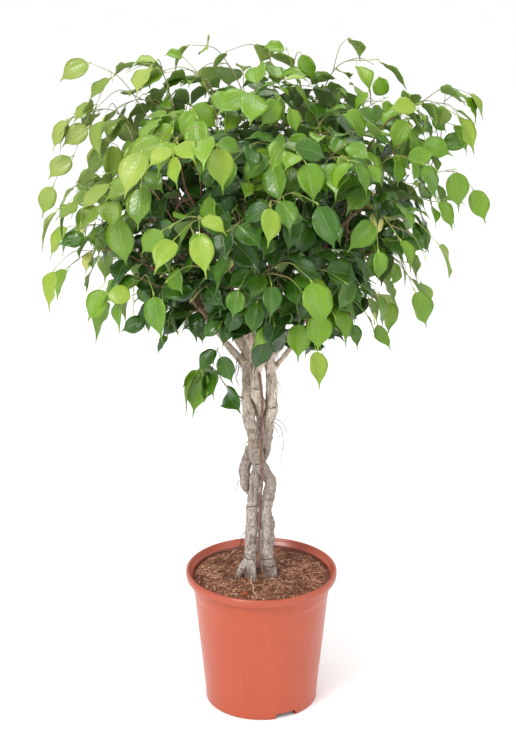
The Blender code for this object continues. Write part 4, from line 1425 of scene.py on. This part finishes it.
def leaf_sprig(sprig, draw):
    """The overlapping leaves that hang from the low sprig."""
    for share, axis, length in SPRIG_LEAVES:
        joint = Vector(curve_at(sprig.line, share))
        place = (1 - share) * sprig.length() / LEAF_SPACING + 0.001
        sprig.leaves.append((place, facing_leaf(joint, axis, length, draw)))


def bent_length(start, joint, outward):
    """A twig's length, counted longer the less it leads outwards."""
    span = joint - start
    return span.length * (2.2 - span.normalized().dot(outward))


def lone_leaves(rows, grown, draw):
    """Leaves past the others, each on a thin twig from the nearest shoot."""
    for x, y, z, tip_x, tip_z, youth in rows:
        joint, tip = Vector((x, y, z)), Vector((tip_x, y - TIP_FORWARD, tip_z))
        outward = (joint - CROWN_MIDDLE).normalized()
        _, number, k, share = min(
            (bent_length(point_at(shoot.line, share)[0], joint, outward), number, k, share)
            for number, own in enumerate(grown)
            for k, shoot in enumerate(own)
            for share in LONE_SHARES
        )
        foot = curve_at(grown[number][k].line, share)
        start = Vector(foot)
        middle = start.lerp(joint, 0.5) + UP * (TWIG_ARCH * (joint - start).length)
        twig = Shoot([start, middle, joint], SIDE_SHOOT_RADII, (), foot=foot)
        twig.leaves.append((0, facing_leaf(joint, tip - joint, (tip - joint).length, draw)))
        twig.youth = youth
        grown[number].append(twig)


def extra_shoot(number, limb, share, aim, reach, own, crowd):
    """Adds a shoot that the solids leave out to its limb's own, if there is room for it."""
    shoot = shoot_on_limb(limb, share, CROWN_MIDDLE + aim * crown_reach(aim) * reach)
    name = f"inner {number} {len(own)}"
    placed = inside(shoot.line) and crowd.settle(shoot.solid(), name, f"limb {number}")
    if placed:
        own.append((shoot, name))
    return placed


def inner_shoots(limbs, crowd, draw):
    """Shorter, older shoots inside the crown and low ones under it, in a list for each limb."""
    grown = [[] for _ in limbs]
    for number, limb in enumerate(limbs):
        for share in INNER_SHOOTS:
            for _ in range(FILL_TRIES):
                aim = aimed(limb[1], INNER_SPREAD, draw.uniform(0, 2 * pi))
                reach = draw.uniform(*INNER_SHARE)
                if extra_shoot(number, limb, share, aim, reach, grown[number], crowd):
                    break
    for number in range(LOW_SHOOTS):
        turn = 2 * pi * number / LOW_SHOOTS
        for _ in range(FILL_TRIES):
            aim = direction(turn + draw.gauss(0, 0.1), radians(draw.uniform(*LOW_RISE)))
            nearest = max(range(len(limbs)), key=lambda k: limbs[k][1].dot(aim))
            share, reach = draw.uniform(*LOW_LIMB_SHARE), draw.uniform(*LOW_REACH)
            if extra_shoot(nearest, limbs[nearest], share, aim, reach, grown[nearest], crowd):
                break
    for own in grown:
        for shoot, name in own:
            fill_leaves(shoot, name, crowd, draw)
    return [[shoot for shoot, _ in own] for own in grown]


def blade_faces(columns):
    """The faces of one blade: its upper and under side, and the rim between them."""
    rows = len(BLADE_ALONG)
    under = rows * columns
    faces = []
    for i in range(rows - 1):
        for j in range(columns - 1):
            a = i * columns + j
            b, c, d = a + 1, a + 1 + columns, a + columns
            faces.append((a, d, c, b))
            faces.append((a + under, b + under, c + under, d + under))
        for a, b in ((i * columns, (i + 1) * columns), ((i + 2) * columns - 1, (i + 1) * columns - 1)):
            faces.append((a, a + under, b + under, b))
    for j in range(columns - 1):
        faces.append((j, j + 1, j + 1 + under, j + under))
        last = (rows - 1) * columns + j
        faces.append((last, last + under, last + 1 + under, last + 1))
    return faces


BLADE_FACES = {len(across): blade_faces(len(across)) for across in (BLADE_ACROSS, SHADED_ACROSS)}


def blade(frame, stalk, draw, columns):
    """Points of a waved blade, folded along its middle, and how far along and across they are."""
    root, axis, face, length, width = (np.array(part) for part in frame)
    roll = draw.gauss(0, LEAF_ROLL)
    beside = np.cross(face, axis)
    face, beside = (
        face * cos(roll) - beside * sin(roll),
        beside * cos(roll) + face * sin(roll),
    )
    along = BLADE_ALONG[:, None]
    share = stalk + (1 - stalk) * along
    across = (0.5 * width * BLADE_HALF)[:, None] * columns[None, :]
    rounding = 0.05 * width
    fold = draw.uniform(*BLADE_FOLD) * (np.sqrt(across**2 + rounding**2) - rounding)
    waves, phase = draw.uniform(*BLADE_WAVES), draw.uniform(0, 6.28)
    swing = np.where(columns < 0, draw.uniform(*WAVE_OFFSET), 0.0)[None, :]
    edge = (columns**2)[None, :] * np.sin(np.pi * along) ** 0.5
    wave = draw.uniform(*WAVE_HEIGHT) * length * edge
    wave = wave * np.sin(2 * np.pi * waves * along + phase + swing)
    sag = draw.uniform(*BLADE_SAG) * length * share**2
    bend = draw.gauss(0, BLADE_BEND) * length * share**2
    twist = draw.gauss(0, BLADE_TWIST) * (along - 0.2)
    flat = across * np.cos(twist) - (fold + wave) * np.sin(twist) + bend
    lift = across * np.sin(twist) + (fold + wave) * np.cos(twist) - sag
    middle = root + axis * (length * share[..., None]) + beside * flat[..., None]
    middle = middle + face * lift[..., None]
    middle[..., 2] -= draw.uniform(*TIP_HANG) * length * np.clip(along - 0.66, 0, None) ** 1.5
    lift_by = face * BLADE_THICKNESS / 2
    points = np.concatenate([(middle + lift_by).reshape(-1, 3), (middle - lift_by).reshape(-1, 3)])
    marks = (np.repeat(BLADE_ALONG, len(columns)), np.tile(columns, len(BLADE_ALONG)))
    return points, *(np.tile(mark, 2) for mark in marks)


class Spray:
    """One spray's mesh as it is put together, with the marks that colour it."""

    def __init__(self):
        self.points, self.faces, self.finishes = [], [], []
        self.marks = {mark: [] for mark in ("youth", "along", "across", "under", "woody")}
        self.count = 0

    def put(self, points, faces, finish, **marks):
        self.points.append(np.clip(np.array([tuple(p) for p in points]), *cad_box))
        self.faces += [tuple(self.count + v for v in face) for face in faces]
        self.finishes += [finish] * len(faces)
        for mark, values in self.marks.items():
            values.append(np.broadcast_to(marks.get(mark, 0.0), len(points)))
        self.count += len(points)

    def shoot(self, shoot, main):
        """The shoot's smooth bark, from inside its parent to the pointed bud at its tip."""
        knots = [shoot.foot, *shoot.line[1:]]
        rings, sides, radii, at_foot = MAIN_LOOK if main else SIDE_LOOK
        line = through(knots, rings)
        woody = np.repeat(np.linspace(at_foot, -0.5, rings), sides)
        self.put(*tube(line, radii, sides), 1, woody=woody)
        along = Vector(line[-1] - line[-2]).normalized()
        tip = [Vector(line[-1]) + along * (0.0045 * k) - UP * (0.0006 * k * k) for k in range(3)]
        self.put(*tube(tip, BUD_RADII, 5), 1, woody=-0.6)
        return knots

    def leaf(self, knots, shoot, place, frame, youth, draw, columns):
        """A blade, and the stalk that joins it to its shoot."""
        points, along, across = blade(frame, draw.uniform(*STALK_SHARE), draw, columns)
        under = np.repeat((0.0, 1.0), len(points) // 2)
        faces = BLADE_FACES[len(columns)]
        self.put(points, faces, 0, youth=youth, along=along, across=across, under=under)
        start = Vector(curve_at(knots, 1 - place * LEAF_SPACING / shoot.length()))
        end = Vector(points[len(columns) + len(columns) // 2])
        arch = start.lerp(end, 0.45) + frame[2] * 0.0016
        stalk = tube(through([start, arch, end], 3), (STALK_RADIUS * 1.3, STALK_RADIUS), 4)
        self.put(*stalk, 1, woody=-0.25 - 0.5 * youth)


def youth_of(place, root, draw, oldest=0.0):
    """How young a leaf is, from 0 to 1: more so near its shoot's tip, outside and high up."""
    way = (root - CROWN_MIDDLE).normalized()
    out = (root - CROWN_MIDDLE).length / crown_reach(way)
    # The rise with height is partly painted shade: the lower leaves are painted darker and the upper
    # ones lighter.
    young = 1.35 * (out - 0.46) - 0.03 * place + 0.5 * (root.z - 0.93)
    if abs(root.x) > YOUNG_SIDES:
        young += YOUNGER
    if root.z > YOUNG_TOP:
        young += YOUNGER
    if draw.random() < YELLOW_LEAVES:
        return 1.0
    most = 0.80 if out > 0.90 else 0.60
    return min(most, max(0.0, young + oldest + draw.gauss(0, YOUTH_VARIES)))


def leaf_finish():
    look = Finish("glossy fig leaf", 0.26, 0.54)
    youth, along, across, under = map(look.mark, ("youth", "along", "across", "under"))
    patchy = look.reach(look.cloud(28.0), 0.30, 0.70)
    age = look.maths("ADD", youth, look.maths("MULTIPLY_ADD", patchy, 0.16, -0.08))
    green = look.ramp(
        age, (0.00, 36, 74, 18), (0.25, 62, 108, 22), (0.48, 102, 144, 26),
        (0.66, 116, 156, 30), (0.86, 146, 170, 52), (1.00, 228, 220, 134),
    )
    # Painted light: the leaves on the upper left, the side the light comes from, are paler and more
    # olive.
    paler_lit_side = look.reach(look.part("X"), *PALER_LIT_SIDE, 0.75)
    paler_lit_side = look.maths("MULTIPLY", paler_lit_side, look.reach(look.part("Z"), 0.86, 0.98))
    olive = look.ramp(age, (0.15, 58, 88, 34), (0.55, 130, 148, 62), (0.90, 174, 182, 104))
    look.colour = look.mix(paler_lit_side, green, olive)
    side = look.maths("ABSOLUTE", across)
    slant = look.maths("MULTIPLY_ADD", side, -0.22, along)
    rows = look.maths("PINGPONG", look.maths("MULTIPLY", slant, 15.0), 1.0)
    veins, midrib = look.reach(rows, 0.16, 0.02), look.reach(side, 0.08, 0.02)
    lines = look.maths("MULTIPLY_ADD", midrib, 0.13, look.maths("MULTIPLY", veins, 0.07))
    look.lay(lines, 176, 196, 104)
    look.lay(look.maths("MULTIPLY", under, 0.42), 150, 172, 108)
    matt = look.maths("MULTIPLY_ADD", under, 0.30, 0.16)
    look.put(look.shader, {"Roughness": look.maths("MULTIPLY_ADD", age, 0.24, matt)})
    ribs = look.maths("MULTIPLY_ADD", midrib, 1.4, veins)
    quilted = look.maths("MULTIPLY_ADD", look.cloud(240.0, 2.0), 1.3, ribs)
    glow = look.mix(0.30, look.colour, seen(176, 208, 40))
    through_light = look.add("BsdfTranslucent", {"Color": glow})
    both = look.add("MixShader", {0: 0.22, 1: look.shader.outputs["BSDF"], 2: through_light})
    look.put(look.tree.nodes["Material Output"], {"Surface": both})
    return look.done(quilted, 0.34, 0.0007)


def shoot_finish():
    look = Finish("young fig bark", 0.62, 0.4)
    grain = look.reach(look.cloud(420.0, 4.0, 0.6), 0.3, 0.7)
    woody = look.maths("MULTIPLY_ADD", grain, 0.25, look.mark("woody"))
    look.colour = look.ramp(
        look.reach(woody, -0.75, 1.25), (0.05, 178, 196, 84), (0.28, 120, 140, 66),
        (0.48, 128, 112, 70), (0.68, 126, 92, 66), (0.95, 108, 76, 58),
    )
    return look.done(grain, 0.3, 0.0004)


def dress(name, shoots, finishes, draw, oldest=0.0, columns=BLADE_ACROSS):
    """One spray's visible piece."""
    made = Spray()
    for number, shoot in enumerate(shoots):
        knots = made.shoot(shoot, number == 0 or shoot.radii is SHOOT_RADII)
        for place, frame in shoot.leaves:
            if place in shoot.places:
                frame = resized(frame, draw, LEAF_SIZE)
            youth = shoot.youth or youth_of(place, frame[0], draw, oldest)
            if youth == 1.0:
                frame = resized(frame, draw, YELLOW_SIZE)
            made.leaf(knots, shoot, place, frame, youth, draw, columns)
    points = np.concatenate(made.points)
    marks = {mark: np.concatenate(values) for mark, values in made.marks.items()}
    return piece(name, points, made.faces, finishes, "foliage", marks, made.finishes)


crowd = Crowd()
sprays = grow_sprays(limbs, stems, crowd)
fill_draw = random.Random(FILL_SEED)
fill_out(sprays, crowd, fill_draw)
inner = inner_shoots(limbs, crowd, fill_draw)
lone_leaves(LONE_LEAVES, inner, fill_draw)
leaf_sprig(sprays[-1][0], fill_draw)
lone_leaves(SPRIG_TOP, sprays[-1:], fill_draw)
leaf_look = [leaf_finish(), shoot_finish()]
for number, spray in enumerate(sprays[:-1], 1):
    made = dress(f"Leafy_spray_{number:02d}", spray, leaf_look, fill_draw)
    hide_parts(f"spray_{number:02d}")
for number, shoots in enumerate(inner, 1):
    dress(f"Inner_shoots_{number:02d}", shoots, leaf_look, fill_draw, -0.10, SHADED_ACROSS)

low = dress("Low_sprig_leaves", sprays[-1], leaf_look, fill_draw, 0.26)
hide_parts("low_sprig")


# The studio. A plain pale floor, a big soft window of light to the upper left, a
# weaker one to the right and a pale room all round.

FLOOR_SIZE = 40.0
PHOTO_TALL = 739
CAMERA_PLACE = (-0.006, -3.0, 1.665)
CAMERA_TILT = radians(90 - 19.08)
FOCAL_PIXELS = 1842.0
SENSOR = 36.0
ROOM_STRENGTH = 0.90
SKY_POWER = 0.7
SKY_SOFTNESS = radians(40)
SKY_TURN = (radians(28), radians(-16), 0.0)
# Each soft light: its name, its place, the point it faces, its size and its power
SOFT_LIGHTS = (
    ("window light", (-1.7, -2.3, 3.0), (0, 0, 0.8), (0.95, 0.95), 72.0),
    ("fill light", (2.4, -1.8, 1.8), (0, 0, 0.7), (1.4, 1.8), 18.0),
    ("low light", (-1.5, -2.7, 0.75), (0, 0, 0.45), (1.2, 0.9), 14.0),
    ("top light", (0.3, 0.9, 3.0), (0, 0, 0.8), (1.6, 1.2), 26.0),
)

floor_mesh = bpy.data.meshes.new("Studio_floor")
side = FLOOR_SIZE / 2
corners = [(-side, -side, 0), (side, -side, 0), (side, side, 0), (-side, side, 0)]
floor_mesh.from_pydata(corners, [], [(0, 1, 2, 3)])
floor = into_scene("Studio_floor", floor_mesh)
paper = Finish("pale studio paper", 0.95, 0.1)
tone = paper.ramp(paper.cloud(3.0), (0.3, *(243.445,) * 3), (0.7, *(246.987,) * 3))
paper.put(paper.shader, {"Base Color": tone})
floor_mesh.materials.append(paper.material)

for name, place, aim, size, power in SOFT_LIGHTS:
    lamp = bpy.data.lights.new(name, "AREA")
    lamp.shape = "RECTANGLE"
    lamp.size, lamp.size_y = size
    lamp.energy = power
    made = into_scene(name, lamp)
    made.location = place
    made.rotation_euler = (Vector(aim) - Vector(place)).to_track_quat("-Z", "Y").to_euler()

sky = bpy.data.lights.new("high soft light", "SUN")
sky.energy = SKY_POWER
sky.angle = SKY_SOFTNESS
into_scene("high soft light", sky).rotation_euler = SKY_TURN

room = bpy.data.worlds.new("pale room")
room.use_nodes = True
room.node_tree.nodes["Background"].inputs["Color"].default_value = (1.0, 1.0, 1.0, 1.0)
room.node_tree.nodes["Background"].inputs["Strength"].default_value = ROOM_STRENGTH
bpy.context.scene.world = room
bpy.context.scene.view_settings.view_transform = "Standard"

lens = bpy.data.cameras.new("camera")
lens.sensor_width = SENSOR
lens.lens = FOCAL_PIXELS / PHOTO_TALL * SENSOR
camera = into_scene("camera", lens)
camera.location = CAMERA_PLACE
camera.rotation_euler = (CAMERA_TILT, 0.0, 0.0)
bpy.context.scene.camera = camera
